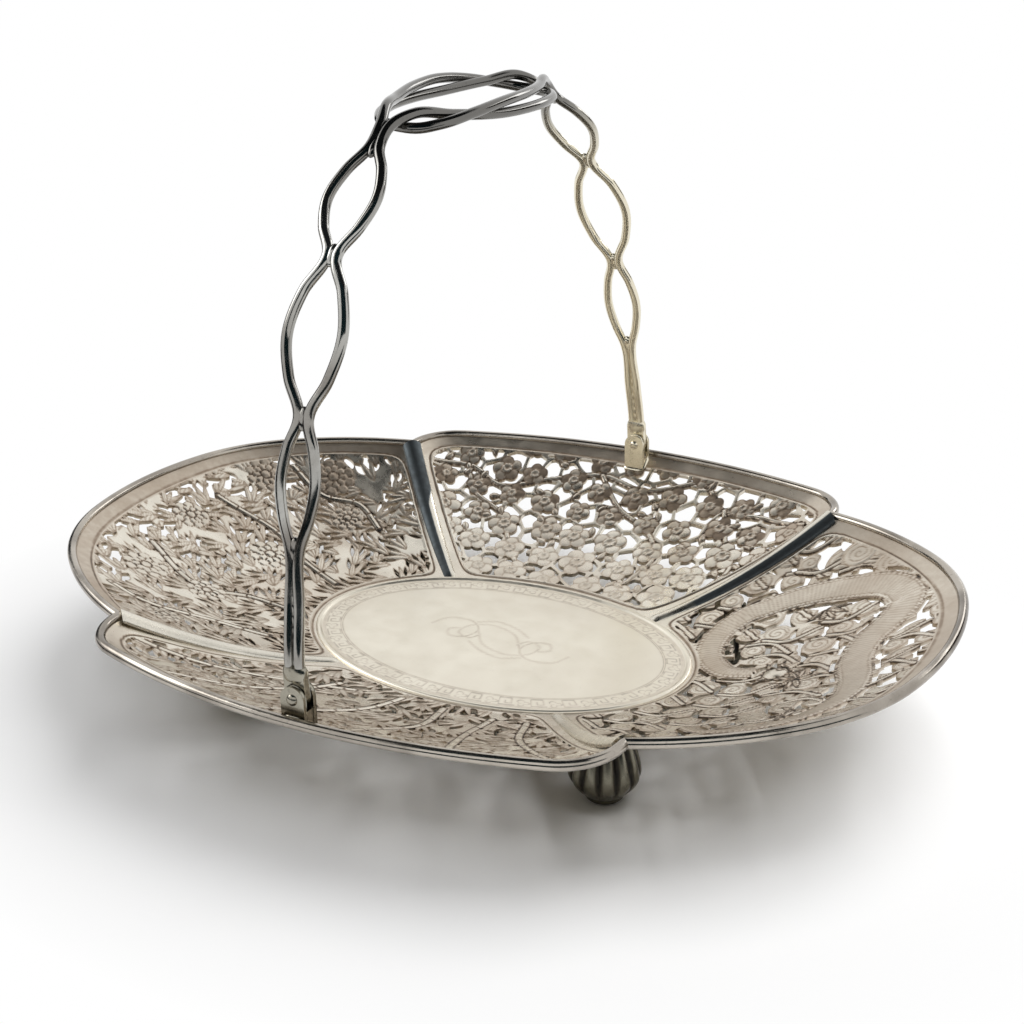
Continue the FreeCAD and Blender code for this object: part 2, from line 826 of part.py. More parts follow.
def hinge_bracket(name, side, lobe):
    """Clevis with two round-topped ears, standing on the plain border inside the rim."""
    body = doc.addObject("PartDesign::Body", name + "_clevis")
    width = half("ear_width")
    profile = rounded_plate(body, name + "_profile", width, size("bracket_drop"), False)
    named_constraint(profile, "round_top", "sizes.ear_width / 2 * 1 mm", "Radius", 0, width)
    named_constraint(profile, "drop", "sizes.bracket_drop * 1 mm", "DistanceY", 1, 2, 1, 1, size("bracket_drop"))
    block = both_ways(body, "Pad", name + "_block", profile)
    block.setExpression("Length", "(sizes.ear_gap + 2 * sizes.ear_thickness) * 1 mm")
    slot_sketch = attached_sketch(body, name + "_slot_sketch", "YZ_Plane")
    gap = half("ear_gap")
    top = width + size("overrun")
    low = -size("ear_gap_depth")
    corners = [Vector(-gap, low, 0), Vector(gap, low, 0), Vector(gap, top, 0), Vector(-gap, top, 0)]
    for start, stop in zip(corners, corners[1:] + corners[:1]):
        slot_sketch.addGeometry(Part.LineSegment(start, stop), False)
    for constraint in (
            ("Coincident", 0, 2, 1, 1),
            ("Coincident", 1, 2, 2, 1),
            ("Coincident", 2, 2, 3, 1),
            ("Coincident", 3, 2, 0, 1),
            ("Horizontal", 2),
            ("Vertical", 1),
            ("Vertical", 3),
            ("Symmetric", 0, 1, 0, 2, -2)):
        slot_sketch.addConstraint(Sketcher.Constraint(*constraint))
    named_constraint(slot_sketch, "gap", "sizes.ear_gap * 1 mm", "DistanceX", 0, 1, 0, 2, 2 * gap)
    named_constraint(slot_sketch, "floor", "sizes.ear_gap_depth * 1 mm", "DistanceY", 0, 1, -1, 1, -low)
    named_constraint(slot_sketch, "open_top", "(sizes.ear_width / 2 + sizes.overrun) * 1 mm",
                     "DistanceY", -1, 1, 2, 1, top)
    slot = both_ways(body, "Pocket", name + "_slot", slot_sketch)
    slot.setExpression("Length", "(sizes.ear_width + 2 * sizes.overrun) * 1 mm")
    radius = half("pin_diameter") + size("pin_seat_clearance")
    bore_sketch = circle_sketch(body, name + "_bore_sketch", radius)
    named_constraint(bore_sketch, "bore", "(sizes.pin_diameter / 2 + sizes.pin_seat_clearance) * 1 mm",
                     "Radius", 0, radius)
    bore = both_ways(body, "Pocket", name + "_bore", bore_sketch)
    bore.setExpression("Length", "(sizes.ear_gap + 2 * sizes.ear_thickness + 2 * sizes.overrun) * 1 mm")
    body.setExpression("Placement.Base.y", "%d * (sizes.rim_width / 2 - sizes.hinge_inset) * 1 mm" % side)
    body.setExpression("Placement.Base.z",
                       "(sizes.panel_height + sizes.dish_depth + sizes.hinge_above_rim) * 1 mm")
    ground = feature(name + "_ground", lobe.block(0, size("tool_depth")))
    bracket = doc.addObject("Part::Cut", name)
    bracket.Base = body
    bracket.Tool = ground
    bracket.Label = name
    return bracket


def hinge_pin(name, side):
    """Rivet through the clevis, with a head outside each ear."""
    solids = []
    reach = "(sizes.ear_gap / 2 + sizes.ear_thickness) * 1 mm"
    center_y = "%d * (sizes.rim_width / 2 - sizes.hinge_inset) * 1 mm" % side
    center_z = "(sizes.panel_height + sizes.dish_depth + sizes.hinge_above_rim) * 1 mm"
    shank = doc.addObject("Part::Cylinder", name + "_shank")
    shank.setExpression("Radius", "sizes.pin_diameter / 2 * 1 mm")
    shank.setExpression("Height", "2 * " + reach)
    shank.Placement.Rotation = FreeCAD.Rotation(Vector(1, 0, 0), -90)
    shank.setExpression("Placement.Base.y", center_y + " - " + reach)
    shank.setExpression("Placement.Base.z", center_z)
    solids.append(shank)
    for end, turn in (("outer", -90), ("inner", 90)):
        sign = "+" if turn < 0 else "-"
        head = doc.addObject("Part::Prism", name + "_" + end + "_head")
        head.Polygon = RIVET_SIDES
        head.setExpression("Circumradius", "sizes.pin_head_diameter / 2 * 1 mm")
        head.setExpression("Height", "sizes.pin_head_height * 1 mm")
        head.Placement.Rotation = FreeCAD.Rotation(Vector(1, 0, 0), turn)
        head.setExpression("Placement.Base.y", center_y + " " + sign + " " + reach)
        head.setExpression("Placement.Base.z", center_z)
        solids.append(head)
    pin = doc.addObject("Part::MultiFuse", name)
    pin.Shapes = solids
    pin.Label = name
    return pin


def hinge_tongue(name, side):
    """Flat eye between the ears that carries the two wires of an arm."""
    body = doc.addObject("PartDesign::Body", name)
    body.Label = name
    width = half("tongue_width")
    profile = rounded_plate(body, name + "_profile", width, size("tongue_length"), True)
    named_constraint(profile, "round_end", "sizes.tongue_width / 2 * 1 mm", "Radius", 0, width)
    named_constraint(profile, "rise", "sizes.tongue_length * 1 mm", "DistanceY", 1, 1, 1, 2, size("tongue_length"))
    plate = both_ways(body, "Pad", name + "_plate", profile)
    plate.setExpression("Length", "sizes.tongue_thickness * 1 mm")
    radius = half("pin_diameter") + size("pin_running_clearance")
    bore_sketch = circle_sketch(body, name + "_bore_sketch", radius)
    named_constraint(bore_sketch, "bore", "(sizes.pin_diameter / 2 + sizes.pin_running_clearance) * 1 mm",
                     "Radius", 0, radius)
    bore = both_ways(body, "Pocket", name + "_bore", bore_sketch)
    bore.setExpression("Length", "(sizes.tongue_thickness + 2 * sizes.overrun) * 1 mm")
    body.Placement.Rotation = FreeCAD.Rotation(Vector(0, -1, 0), size("handle_lean_angle"))
    body.setExpression("Placement.Rotation.Angle", "sizes.handle_lean_angle * 1 deg")
    body.setExpression("Placement.Base.y", "%d * (sizes.rim_width / 2 - sizes.hinge_inset) * 1 mm" % side)
    body.setExpression("Placement.Base.z",
                       "(sizes.panel_height + sizes.dish_depth + sizes.hinge_above_rim) * 1 mm")
    return body


LEAN = FreeCAD.Placement(Vector(0, 0, 0), FreeCAD.Rotation(Vector(0, 1, 0), -size("handle_lean_angle")),
                         Vector(0, 0, HINGE_HEIGHT))
RIM_WIRES = {name: rim_wire(lobe) for name, lobe in LOBES.items()}

pieces = [panel()]
for lobe_name, lobe in LOBES.items():
    pieces.append(feature(lobe_name, pierced_sheet(lobe)))
    pieces.append(feature(lobe_name.replace("lobe", "rim_wire"), RIM_WIRES[lobe_name]))
for along_name, along_sign in (("left", -1), ("right", 1)):
    for across_name, across_sign in (("front", -1), ("back", 1)):
        pieces.append(feature("foot_%s_%s" % (across_name, along_name), foot(along_sign, across_sign)))
for side_name, side in (("front", -1), ("back", 1)):
    pieces.append(hinge_bracket("hinge_bracket_" + side_name, side, LOBES["lobe_" + side_name]))
    pieces.append(hinge_pin("hinge_pin_" + side_name, side))
    pieces.append(hinge_tongue("hinge_tongue_" + side_name, side))
    wire = feature("handle_wire_" + side_name, handle_wire(side))
    wire.Placement = LEAN
    pieces.append(wire)
doc.recompute()

faults = []
for item in doc.Objects:
    if "Invalid" in item.State or "Error" in item.State:
        faults.append("%s is %s" % (item.Name, item.State))
for piece in pieces:
    if piece.Shape.isNull() or not piece.Shape.isValid() or not piece.Shape.Solids:
        faults.append("%s has no valid solid" % piece.Label)
if faults:
    raise RuntimeError("; ".join(faults))

os.makedirs("parts", exist_ok=True)
for piece in pieces:
    piece.Shape.exportStep("parts/%s.step" % piece.Label)
    box = piece.Shape.BoundBox
    print("%-22s solids %d volume %9.1f z %.2f to %.2f" % (
        piece.Label, len(piece.Shape.Solids), piece.Shape.Volume, box.ZMin, box.ZMax))
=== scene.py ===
import math
import random

import bpy
import numpy as np
from mathutils import Matrix, Vector

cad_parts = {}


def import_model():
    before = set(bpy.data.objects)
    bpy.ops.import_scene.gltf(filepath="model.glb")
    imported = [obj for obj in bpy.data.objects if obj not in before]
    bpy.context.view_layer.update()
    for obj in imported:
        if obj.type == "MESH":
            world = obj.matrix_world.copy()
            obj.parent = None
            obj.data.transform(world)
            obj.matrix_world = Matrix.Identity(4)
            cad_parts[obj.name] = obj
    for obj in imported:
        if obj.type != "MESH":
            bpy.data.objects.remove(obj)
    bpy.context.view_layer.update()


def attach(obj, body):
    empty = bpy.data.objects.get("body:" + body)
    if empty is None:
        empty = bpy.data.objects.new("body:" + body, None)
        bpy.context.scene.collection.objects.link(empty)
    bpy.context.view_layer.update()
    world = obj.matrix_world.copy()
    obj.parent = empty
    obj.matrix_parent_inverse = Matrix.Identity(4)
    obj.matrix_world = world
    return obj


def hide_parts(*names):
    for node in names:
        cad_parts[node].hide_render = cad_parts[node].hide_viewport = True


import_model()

# Sizes in millimetres, as in the CAD model

MM = 0.001
HALF_LENGTH = 139.5
HALF_WIDTH = 110.5
CUSP_SHARES = (0.5735, 0.742)
LONG_ARC_END_SHARES = (0.4875, 0.9018)
TIP_RADIUS = 1.032 * HALF_WIDTH
SHOULDER_RADIUS = 0.588 * HALF_WIDTH
TIP_ANGLE = math.radians(14)
SHOULDER_ANGLE = math.radians(47)
PANEL_TOP = 15.0
RIM_HEIGHT = 41.4
END_LIFT = 3.2
EVEN_RISE = 0.45
SHEET = 1.2
RIM_WIRE = 3.0
HALF_PANEL = np.array([63.0, 42.2])
SEAM_FOOT_SHARE = 0.5825
BEAD_WIDTH = 1.8
BEAD_HEIGHT = 0.6
BORDER_LINES = (2.5, 3.1, 8.2, 8.8)
FRET_INSET = 3.7
FRET_WIDTH = 3.9
BORDER = 6.5
SEAM_BORDER = 5.4
FAN_ANGLE = 0.40
PANEL_MARGIN = 2.2
ROLL_WIDTH = 7.2
ROLL_HEIGHT = 2.2
ROLL_OUTER_SHARE = 0.6
FOOT_PLACES = {"front": -45.5, "back": 45.5}
FOOT_REACH = {"left": -58.0, "right": 58.0}
FOOT_WIDTH = 20.5
FOOT_RIBS = 12
FOOT_BASE_SHARE = 0.517
FOOT_BODY_START = 0.115
FOOT_TOP = 1.35
FOOT_WIDEST = 0.34
HINGE_REACH = HALF_WIDTH - 4.9
HINGE_HEIGHT = RIM_HEIGHT + 5.2
EAR_WIDTH = 6.6
EAR = 1.3
EAR_GAP = 2.9
PIN = 2.2
PIN_HEAD = 3.2
BRACKET_DROP = 8.4
SEAT_TOP = -3.4
WELD = (4.1, 3.4)
COLLAR = (3.35, 1.75)
TONGUE = 2.4
TONGUE_WIDTH = 5.8
TONGUE_LENGTH = 7.0
WIRE = 2.9
KISS = WIRE / 2 + 0.02
WEAVE = WIRE / 2 + 0.35
HANDLE_RISE = 135.3
LENS_WIDTHS = (10.4, 16.4, 14.6)
HALF_LOOP_LENGTH = 39.5
HALF_LOOP_WIDTH = 14.2
LOOP_END_RISE = 1.0
LOOP_END_DROP = 3.1
LOOP_TILT = math.radians(9)
LEAN = math.radians(2.5)

ARM_JOINT_SHARES = ((0.951, 0.280), (0.865, 0.512), (0.688, 0.783), (0.470, 0.953))
ARM_TOP_SHARES = (0.388, 1.004)
LENS_SHARES = ((0.24, 0.66), (0.5, 1.0), (0.76, 0.66))
LOOP_SHARES = (
    (0.22, 0.93), (0.58, 0.62), (0.90, 0.20), (1.0, -0.18),
    (0.90, -0.53), (0.62, -0.81), (0.27, -0.945), (0.0, -0.965),
)

GRID_STEP = 0.52
LINE = 0.33
PATH_STEP = 0.6
CORNER_SOFTNESS = 2.4
LARGEST_OPENING = 9.0
FRET_REPEATS = 64

# Colours, and the places in metres where they change

# Distances in Y over which the handle and hinges turn paler towards the back: painted light, standing in for
# brighter reflections there.
PAINTED_LIGHT_START = 0.045
PAINTED_LIGHT_END = 0.075
# Heights at which the handle turns darker at its top: painted shade, standing in for dark reflections on its
# loops.
PAINTED_SHADE_TOP_START = 0.162
PAINTED_SHADE_TOP_END = 0.176
BRIGHT = (0.78, 0.735, 0.64)
TONED = (0.40, 0.31, 0.23)
TARNISH = (0.030, 0.028, 0.026)
# Dark colour of the seams' painted shade, and of the handle's dark wear.
SLATE = (0.052, 0.056, 0.058)
# Paler colour of the back of the handle and hinges: painted light.
PALE_BACK_PAINTED_LIGHT = (0.80, 0.74, 0.59)
PAPER = (0.93, 0.93, 0.93)
ROOM = (0.90, 0.96, 1.0)

# Room light, the distances over which the floor turns white, and the camera, in metres and radians

ROOM_LIGHT = 0.03
WHITE_START = 0.70
WHITE_END = 1.55
CAMERA_PLACE = Vector((0.2204, -0.3977, 0.2430))
CAMERA_AZIMUTH = 0.49552
CAMERA_ELEVATION = 0.38605
CAMERA_ROLL = -0.01532
CAMERA_LENS = 56.68


# Meshes

def add_object(name, data):
    made = bpy.data.objects.new(name, data)
    bpy.context.scene.collection.objects.link(made)
    return made


def mesh_piece(name, shape, finish, sharp=40.0, ink=None, node_name=None, body="basket"):
    """A smooth-shaded mesh of points in millimetres, on its CAD body and in place of its CAD node."""
    points, faces = shape
    material, slot_name = finish
    mesh = bpy.data.meshes.new(name)
    mesh.from_pydata((np.asarray(points, float) * MM).tolist(), [], faces)
    mesh.update()
    mesh.polygons.foreach_set("use_smooth", np.ones(len(mesh.polygons), bool))
    mesh.set_sharp_from_angle(angle=math.radians(sharp))
    if ink is not None:
        layer = mesh.attributes.new("ink", "FLOAT", "POINT")
        layer.data.foreach_set("value", np.asarray(ink, np.float32))
    mesh.materials.append(material)
    piece = add_object(name, mesh)
    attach(piece, body)
    if node_name:
        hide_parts(node_name)


def join(parts):
    """One list of points and one of faces from several pairs of them."""
    points = []
    faces = []
    for part_points, part_faces in parts:
        start = sum(len(p) for p in points)
        points.append(np.asarray(part_points, float))
        faces += [tuple(start + index for index in face) for face in part_faces]
    return np.concatenate(points), faces


def flipped(shape):
    points, faces = shape
    return points, [tuple(reversed(face)) for face in faces]


def moved(shape, offset):
    points, faces = shape
    return np.asarray(points) + offset, faces


def rings(sections):
    """Skin through closed sections that have the same number of points, capped at both ends."""
    sections = np.asarray(sections, float)
    count, sides = sections.shape[:2]
    faces = []
    for row in range(count - 1):
        for side in range(sides):
            after = (side + 1) % sides
            faces.append((row * sides + side, row * sides + after, (row + 1) * sides + after,
                          (row + 1) * sides + side))
    faces.append(tuple(reversed(range(sides))))
    faces.append(tuple(range((count - 1) * sides, count * sides)))
    return sections.reshape(-1, 3), faces


def unit(vector):
    vector = np.asarray(vector, float)
    return vector / np.linalg.norm(vector)


def full_turn(count):
    return np.linspace(0, 2 * math.pi, count, endpoint=False)


def level_ring(turns, center, reach, z):
    """Level ring, whose reach is one radius for all its points, one each, or one for X and one for Y."""
    plan = center + np.stack([np.cos(turns), np.sin(turns)], 1) * reach
    return np.column_stack([plan, np.broadcast_to(z, len(turns))])


def tube(path, radius, sides=20, round_ends=True):
    """Round wire along a path, with domed ends."""
    path = np.asarray(path, float)
    ways = np.gradient(path, axis=0)
    ways = ways / np.linalg.norm(ways, axis=1, keepdims=True)
    radii = np.full(len(path), radius)
    if round_ends:
        turns = np.array([0.35, 0.75, 1.15, 1.5])
        reach = np.sin(turns)[:, None] * radius
        shrink = np.cos(turns) * radius
        path = np.concatenate([(path[0] - ways[0] * reach)[::-1], path, path[-1] + ways[-1] * reach])
        ways = np.concatenate([[ways[0]] * len(turns), ways, [ways[-1]] * len(turns)])
        radii = np.concatenate([shrink[::-1], radii, shrink])
    aside = unit(np.cross(ways[0], (0.31, 0.17, 0.93)))
    turns = full_turn(sides)
    sections = []
    for point, way, size in zip(path, ways, radii):
        aside = unit(aside - way * aside.dot(way))
        other = np.cross(way, aside)
        sections.append(point + (np.outer(np.cos(turns), aside) + np.outer(np.sin(turns), other)) * size)
    return rings(sections)


def ellipsoid(center, axes, sides=20, rows=12):
    """Rounded blob whose three half axes are the given vectors."""
    turns = full_turn(sides)
    belt = np.outer(np.cos(turns), axes[0]) + np.outer(np.sin(turns), axes[1])
    rises = [math.pi * (row / rows - 0.5) for row in range(1, rows)]
    return rings([center + belt * math.cos(rise) + np.multiply(axes[2], math.sin(rise)) for rise in rises])


def plate(outline, low, high, bevel):
    """Plate with softened edges, whose outline lies in X and Z and whose thickness runs along Y."""
    outline = np.asarray(outline, float)
    ways = np.roll(outline, -1, 0) - np.roll(outline, 1, 0)
    ways /= np.linalg.norm(ways, axis=1, keepdims=True)
    inward = np.stack([-ways[:, 1], ways[:, 0]], 1)
    sections = []
    for y, inset in ((low, bevel), (low + bevel * 0.3, bevel * 0.3), (low + bevel, 0.0),
                     (high - bevel, 0.0), (high - bevel * 0.3, bevel * 0.3), (high, bevel)):
        flat = outline + inward * inset
        sections.append(np.stack([flat[:, 0], np.full(len(flat), y), flat[:, 1]], 1))
    return rings(sections)


def cubic(first, last, leaving, arriving, t):
    """Point on the curve between two points that has the given speeds at its ends."""
    return (first * (2 * t ** 3 - 3 * t ** 2 + 1) + leaving * (t ** 3 - 2 * t ** 2 + t)
            + last * (3 * t ** 2 - 2 * t ** 3) + arriving * (t ** 3 - t ** 2))


# Rim outline

def arc(center, radius, start, end):
    """Points of a level arc between two angles."""
    count = max(int(abs(end - start) * radius / PATH_STEP), 2)
    turns = np.linspace(start, end, count + 1)
    return np.stack([center[0] + radius * np.cos(turns), center[1] + radius * np.sin(turns)], 1)


def arc_to(start, toward, end):
    """Points of the arc from start whose centre lies along toward, ending at end."""
    way = end - start
    radius = way.dot(way) / (2 * way.dot(toward))
    center = start + toward * radius
    first = math.atan2(*(start - center)[::-1])
    last = math.atan2(*(end - center)[::-1])
    return arc(center, radius, first, last)


CUSP = np.array([HALF_LENGTH * CUSP_SHARES[0], HALF_WIDTH * CUSP_SHARES[1]])
END_SLOPE = math.asin(END_LIFT / (HALF_LENGTH - CUSP[0]))


def long_outline():
    """The back rim in plan, from its left cusp to its right cusp."""
    end = np.array([HALF_LENGTH * LONG_ARC_END_SHARES[0], HALF_WIDTH * LONG_ARC_END_SHARES[1]])
    rise = HALF_WIDTH - end[1]
    radius = (end[0] ** 2 + rise ** 2) / (2 * rise)
    center = np.array([0, HALF_WIDTH - radius])
    half_angle = math.asin(end[0] / radius)
    main = arc(center, radius, math.pi / 2 + half_angle, math.pi / 2 - half_angle)
    corner = arc_to(end, unit(center - end), CUSP)
    return np.concatenate([(corner * (-1, 1))[::-1], main[1:-1], corner])


def end_outline():
    """The right-hand rim in plan, from its back cusp to its front cusp."""
    tip_center = np.array([HALF_LENGTH - TIP_RADIUS, 0])
    away = np.array([math.cos(TIP_ANGLE), math.sin(TIP_ANGLE)])
    shoulder_center = tip_center + away * (TIP_RADIUS - SHOULDER_RADIUS)
    shoulder = arc(shoulder_center, SHOULDER_RADIUS, TIP_ANGLE, SHOULDER_ANGLE)
    flank = arc_to(shoulder[-1], unit(shoulder_center - shoulder[-1]), CUSP)
    tip = arc(tip_center, TIP_RADIUS, TIP_ANGLE, -TIP_ANGLE)
    back = np.concatenate([flank[::-1], shoulder[::-1][1:-1]])
    return np.concatenate([back, tip, (back * (1, -1))[::-1]])


class Lobe:
    """One of the four curved sheets between the panel and the rim."""

    def __init__(self, name):
        self.name = name
        self.long = name in ("lobe_back", "lobe_front")
        sign = 1 if name in ("lobe_back", "lobe_right") else -1
        if self.long:
            plan = long_outline()
            rim = np.stack([plan[:, 0], plan[:, 1], np.full(len(plan), RIM_HEIGHT)], 1)
        else:
            plan = end_outline()
            reach = plan[:, 0] - CUSP[0]
            rim = np.stack([CUSP[0] + reach * math.cos(END_SLOPE), plan[:, 1],
                            RIM_HEIGHT + reach * math.sin(END_SLOPE)], 1)
        self.rim = rim * (sign, sign, 1)
        steps = np.linalg.norm(np.diff(self.rim, axis=0), axis=1)
        self.lengths = np.concatenate([[0], np.cumsum(steps)])
        seam = math.acos(SEAM_FOOT_SHARE)
        self.angles = {
            "lobe_back": (math.pi - seam, seam),
            "lobe_right": (seam, -seam),
            "lobe_front": (-seam, seam - math.pi),
            "lobe_left": (math.pi + seam, math.pi - seam),
        }[name]

    def rim_point(self, along):
        length = np.asarray(along, float) * self.lengths[-1]
        return np.stack([np.interp(length, self.lengths, self.rim[:, axis]) for axis in range(3)], -1)

    def inner_point(self, along):
        turn = self.angles[0] + np.asarray(along, float) * (self.angles[1] - self.angles[0])
        return np.stack([HALF_PANEL[0] * np.cos(turn), HALF_PANEL[1] * np.sin(turn)], -1)

    def top(self, along, out):
        """Points on the sheet's upper face: along the rim, and out from the panel, both 0 to 1."""
        inner = self.inner_point(along)
        rim = self.rim_point(along)
        out = np.asarray(out, float)[..., None]
        flat = inner + (rim[..., :2] - inner) * out
        rise = rim[..., 2:] + SHEET / 2 - PANEL_TOP
        return np.concatenate([flat, PANEL_TOP + rise * (EVEN_RISE * out + (1 - EVEN_RISE) * out ** 2)], -1)


LOBES = {name: Lobe(name) for name in ("lobe_front", "lobe_back", "lobe_left", "lobe_right")}


# Fretwork: a field over a lobe that is positive in metal, with its relief, its engraved lines and its painted
# shade

def smooth(value):
    value = np.clip(value, 0, 1)
    return value * value * (3 - 2 * value)


def to_segment(x, y, start, end):
    """Distance to a segment, and how far along it the nearest point lies."""
    way_x, way_y = end[0] - start[0], end[1] - start[1]
    length = way_x ** 2 + way_y ** 2
    share = np.clip(((x - start[0]) * way_x + (y - start[1]) * way_y) / length, 0, 1)
    return np.hypot(x - start[0] - share * way_x, y - start[1] - share * way_y), share


def to_path(x, y, path):
    """Distance to a path of straight steps, and the length along it to the nearest point."""
    distance = np.full(x.shape, 1e3)
    travelled = np.zeros(x.shape)
    done = 0.0
    for start, end in zip(path, path[1:]):
        found, share = to_segment(x, y, start, end)
        length = math.dist(start, end)
        travelled = np.where(found < distance, done + share * length, travelled)
        distance = np.minimum(distance, found)
        done += length
    return distance, travelled


def curve_through(points, spacing=1.5):
    """Smooth plan curve through a few points."""
    points = np.asarray(points, float)
    ways = np.gradient(points, axis=0)
    curve = []
    for index in range(len(points) - 1):
        count = max(int(math.dist(points[index], points[index + 1]) / spacing), 2)
        curve += [cubic(*points[index:index + 2], *ways[index:index + 2], t) for t in np.arange(count) / count]
    return np.array(curve + [points[-1]])


class Fretwork:
    """Metal, relief, engraving and painted shade of a lobe on a grid of places along and out."""

    def __init__(self, lobe, seed, solid=True):
        self.lobe = lobe
        self.random = random.Random(seed)
        reach = np.linalg.norm(lobe.rim_point(0.5)[:2] - lobe.inner_point(0.5))
        self.columns = int(lobe.lengths[-1] / GRID_STEP)
        self.rows = int(reach / GRID_STEP)
        along = np.linspace(0, 1, self.columns)[:, None] * np.ones(self.rows)
        out = np.ones(self.columns)[:, None] * np.linspace(0, 1, self.rows)
        self.top = lobe.top(along, out)
        self.x, self.y = self.top[..., 0], self.top[..., 1]
        self.low = self.top[..., :2].min((0, 1))
        self.high = self.top[..., :2].max((0, 1))
        reaches = np.linalg.norm(lobe.rim_point(along)[..., :2] - lobe.inner_point(along), axis=-1)
        self.from_rim = (1 - out) * reaches
        self.from_panel = out * reaches
        self.from_seam = np.full(along.shape, 1e3)
        for end in (0, 1):
            seam = to_segment(self.x, self.y, lobe.inner_point(end), lobe.rim_point(end)[:2])[0]
            self.from_seam = np.minimum(self.from_seam, seam)
        self.metal = np.full(along.shape, 9.0 if solid else -9.0)
        self.relief = np.zeros(along.shape)
        self.ink = np.zeros(along.shape)
        limits = [self.from_rim - BORDER, self.from_seam - SEAM_BORDER, self.from_panel - PANEL_MARGIN]
        blend = sum(np.exp(-limit / CORNER_SOFTNESS) for limit in limits)
        self.field = -CORNER_SOFTNESS * np.log(blend)

    def near(self, center, radius):
        """The part of the grid within a radius of a place, and its offsets from there."""
        mask = (self.x - center[0]) ** 2 + (self.y - center[1]) ** 2 < radius ** 2
        return mask, self.x[mask] - center[0], self.y[mask] - center[1]

    def add(self, mask, inside, rise, edge, line=0.0, depth=1.0):
        """A motif: inside is the distance in from its own edge."""
        self.metal[mask] = np.maximum(self.metal[mask], inside)
        body = inside > 0
        old = np.where(body, 0, self.relief[mask])
        self.relief[mask] = np.maximum(old, rise * smooth(inside / edge))
        if line:
            kept = np.where(inside > line, 0, self.ink[mask])
            outline = np.where(inside > -line, smooth(1.4 - np.abs(inside) / line), 0)
            self.ink[mask] = np.maximum(kept, depth * outline)

    def mark(self, mask, tone):
        """Ink at least as dark as the tone, for engraving and for painted shade."""
        self.ink[mask] = np.maximum(self.ink[mask], tone)

    def line(self, mask, distance, half_width, depth=1.0):
        self.mark(mask, depth * smooth(1.3 - np.abs(distance) / half_width))

    def places(self, across, down, jitter):
        """Jittered, staggered places all over the lobe."""
        size = self.high - self.low
        found = []
        for row in range(int(size[1] / down) + 2):
            for column in range(int(size[0] / across) + 2):
                x = self.low[0] + (column + 0.5 * (row % 2)) * across + self.random.uniform(-jitter, jitter)
                found.append((x, self.low[1] + row * down + self.random.uniform(-jitter, jitter)))
        return found

    def rim_gap(self, place):
        """How far inside the rim the grid's nearest point lies."""
        gaps = (self.x - place[0]) ** 2 + (self.y - place[1]) ** 2
        return self.from_rim.ravel()[gaps.argmin()]

    def cut(self, mask, depth):
        """A hole, by the depth in from its edge, with a dark lip of painted shade."""
        self.metal[mask] = np.minimum(self.metal[mask], -depth)
        # Painted shade round the edge of the hole.
        self.mark(mask, 0.45 * smooth(1.25 + depth / 0.4))

    def slit(self, center, angle, length, width):
        """Pointed hole, like the gap between two leaves."""
        mask, x, y = self.near(center, length / 2 + 1.2)
        u = (x * math.cos(angle) + y * math.sin(angle)) / length + 0.5
        v = -x * math.sin(angle) + y * math.cos(angle)
        half = width / 2 * np.sin(math.pi * np.clip(u, 0, 1) ** 0.8)
        beyond = np.maximum(np.abs(u - 0.5) - 0.5, 0) * length
        self.cut(mask, half - np.abs(v) - beyond)

    def crescent(self, center, radius, width, middle, span):
        """Curved hole round part of a circle."""
        mask, x, y = self.near(center, radius + width)
        turn = (np.arctan2(y, x) - middle + math.pi) % (2 * math.pi) - math.pi
        half = width / 2 * np.sqrt(np.clip(1 - (2 * turn / span) ** 2, 0, 1))
        beyond = np.maximum(np.abs(turn) - span / 2, 0) * radius
        self.cut(mask, half - np.abs(np.hypot(x, y) - radius) - beyond)

    def leaf_fan(self, base, angle, count, length, opening):
        """Slender leaves from one point, with pointed holes between them."""
        for gap in range(count + 1):
            turn = angle + FAN_ANGLE * (gap - count / 2)
            way = np.array([math.cos(turn), math.sin(turn)])
            self.slit(np.asarray(base) + 0.70 * length * way, turn, 0.66 * length, opening)
        for blade in range(count):
            turn = angle + FAN_ANGLE * (blade - (count - 1) / 2)
            self.leaf(base, turn, length * self.random.uniform(0.9, 1.15), 0.19 * length, 0.14, 0.5)

    def curl(self, center, radius, turn, hand):
        """Engraved cloud spiral on a slight swelling."""
        mask, x, y = self.near(center, radius + 1)
        distance = np.hypot(x, y)
        angle = (hand * np.arctan2(y, x) - turn) % (2 * math.pi)
        pitch = 1.8
        winding = (distance - pitch * angle / (2 * math.pi)) / pitch
        offset = np.abs(winding - np.round(winding)) * pitch
        inside = radius - distance
        self.add(mask, inside, 0.16, 1.2)
        self.ink[mask] = np.where(inside > 0, 0.5 * smooth(1.3 - offset / LINE), self.ink[mask])
        self.line(mask, inside - 0.2, LINE, 0.35)

    def borders(self, tone=0.0):
        """Plain bands at the rim, seams and panel, with an engraved line beside the pierced field. The band by
        the rim is darkened by tone, painted shade that differs from lobe to lobe.
        """
        everywhere = np.ones(self.x.shape, bool)
        self.metal = np.maximum(self.metal, -self.field)
        plain = self.field < 0.2
        self.relief[plain] = 0
        # Painted shade: the band by the rim is darker by the tone.
        band = tone * smooth((BORDER + 1 - self.from_rim) / 2)
        self.ink[plain] = band[plain]
        self.line(everywhere, (self.field + 0.95)[everywhere], 0.36, 0.85)
        self.relief += 0.22 * smooth(1 - np.abs(self.field + 0.2) / 0.7)

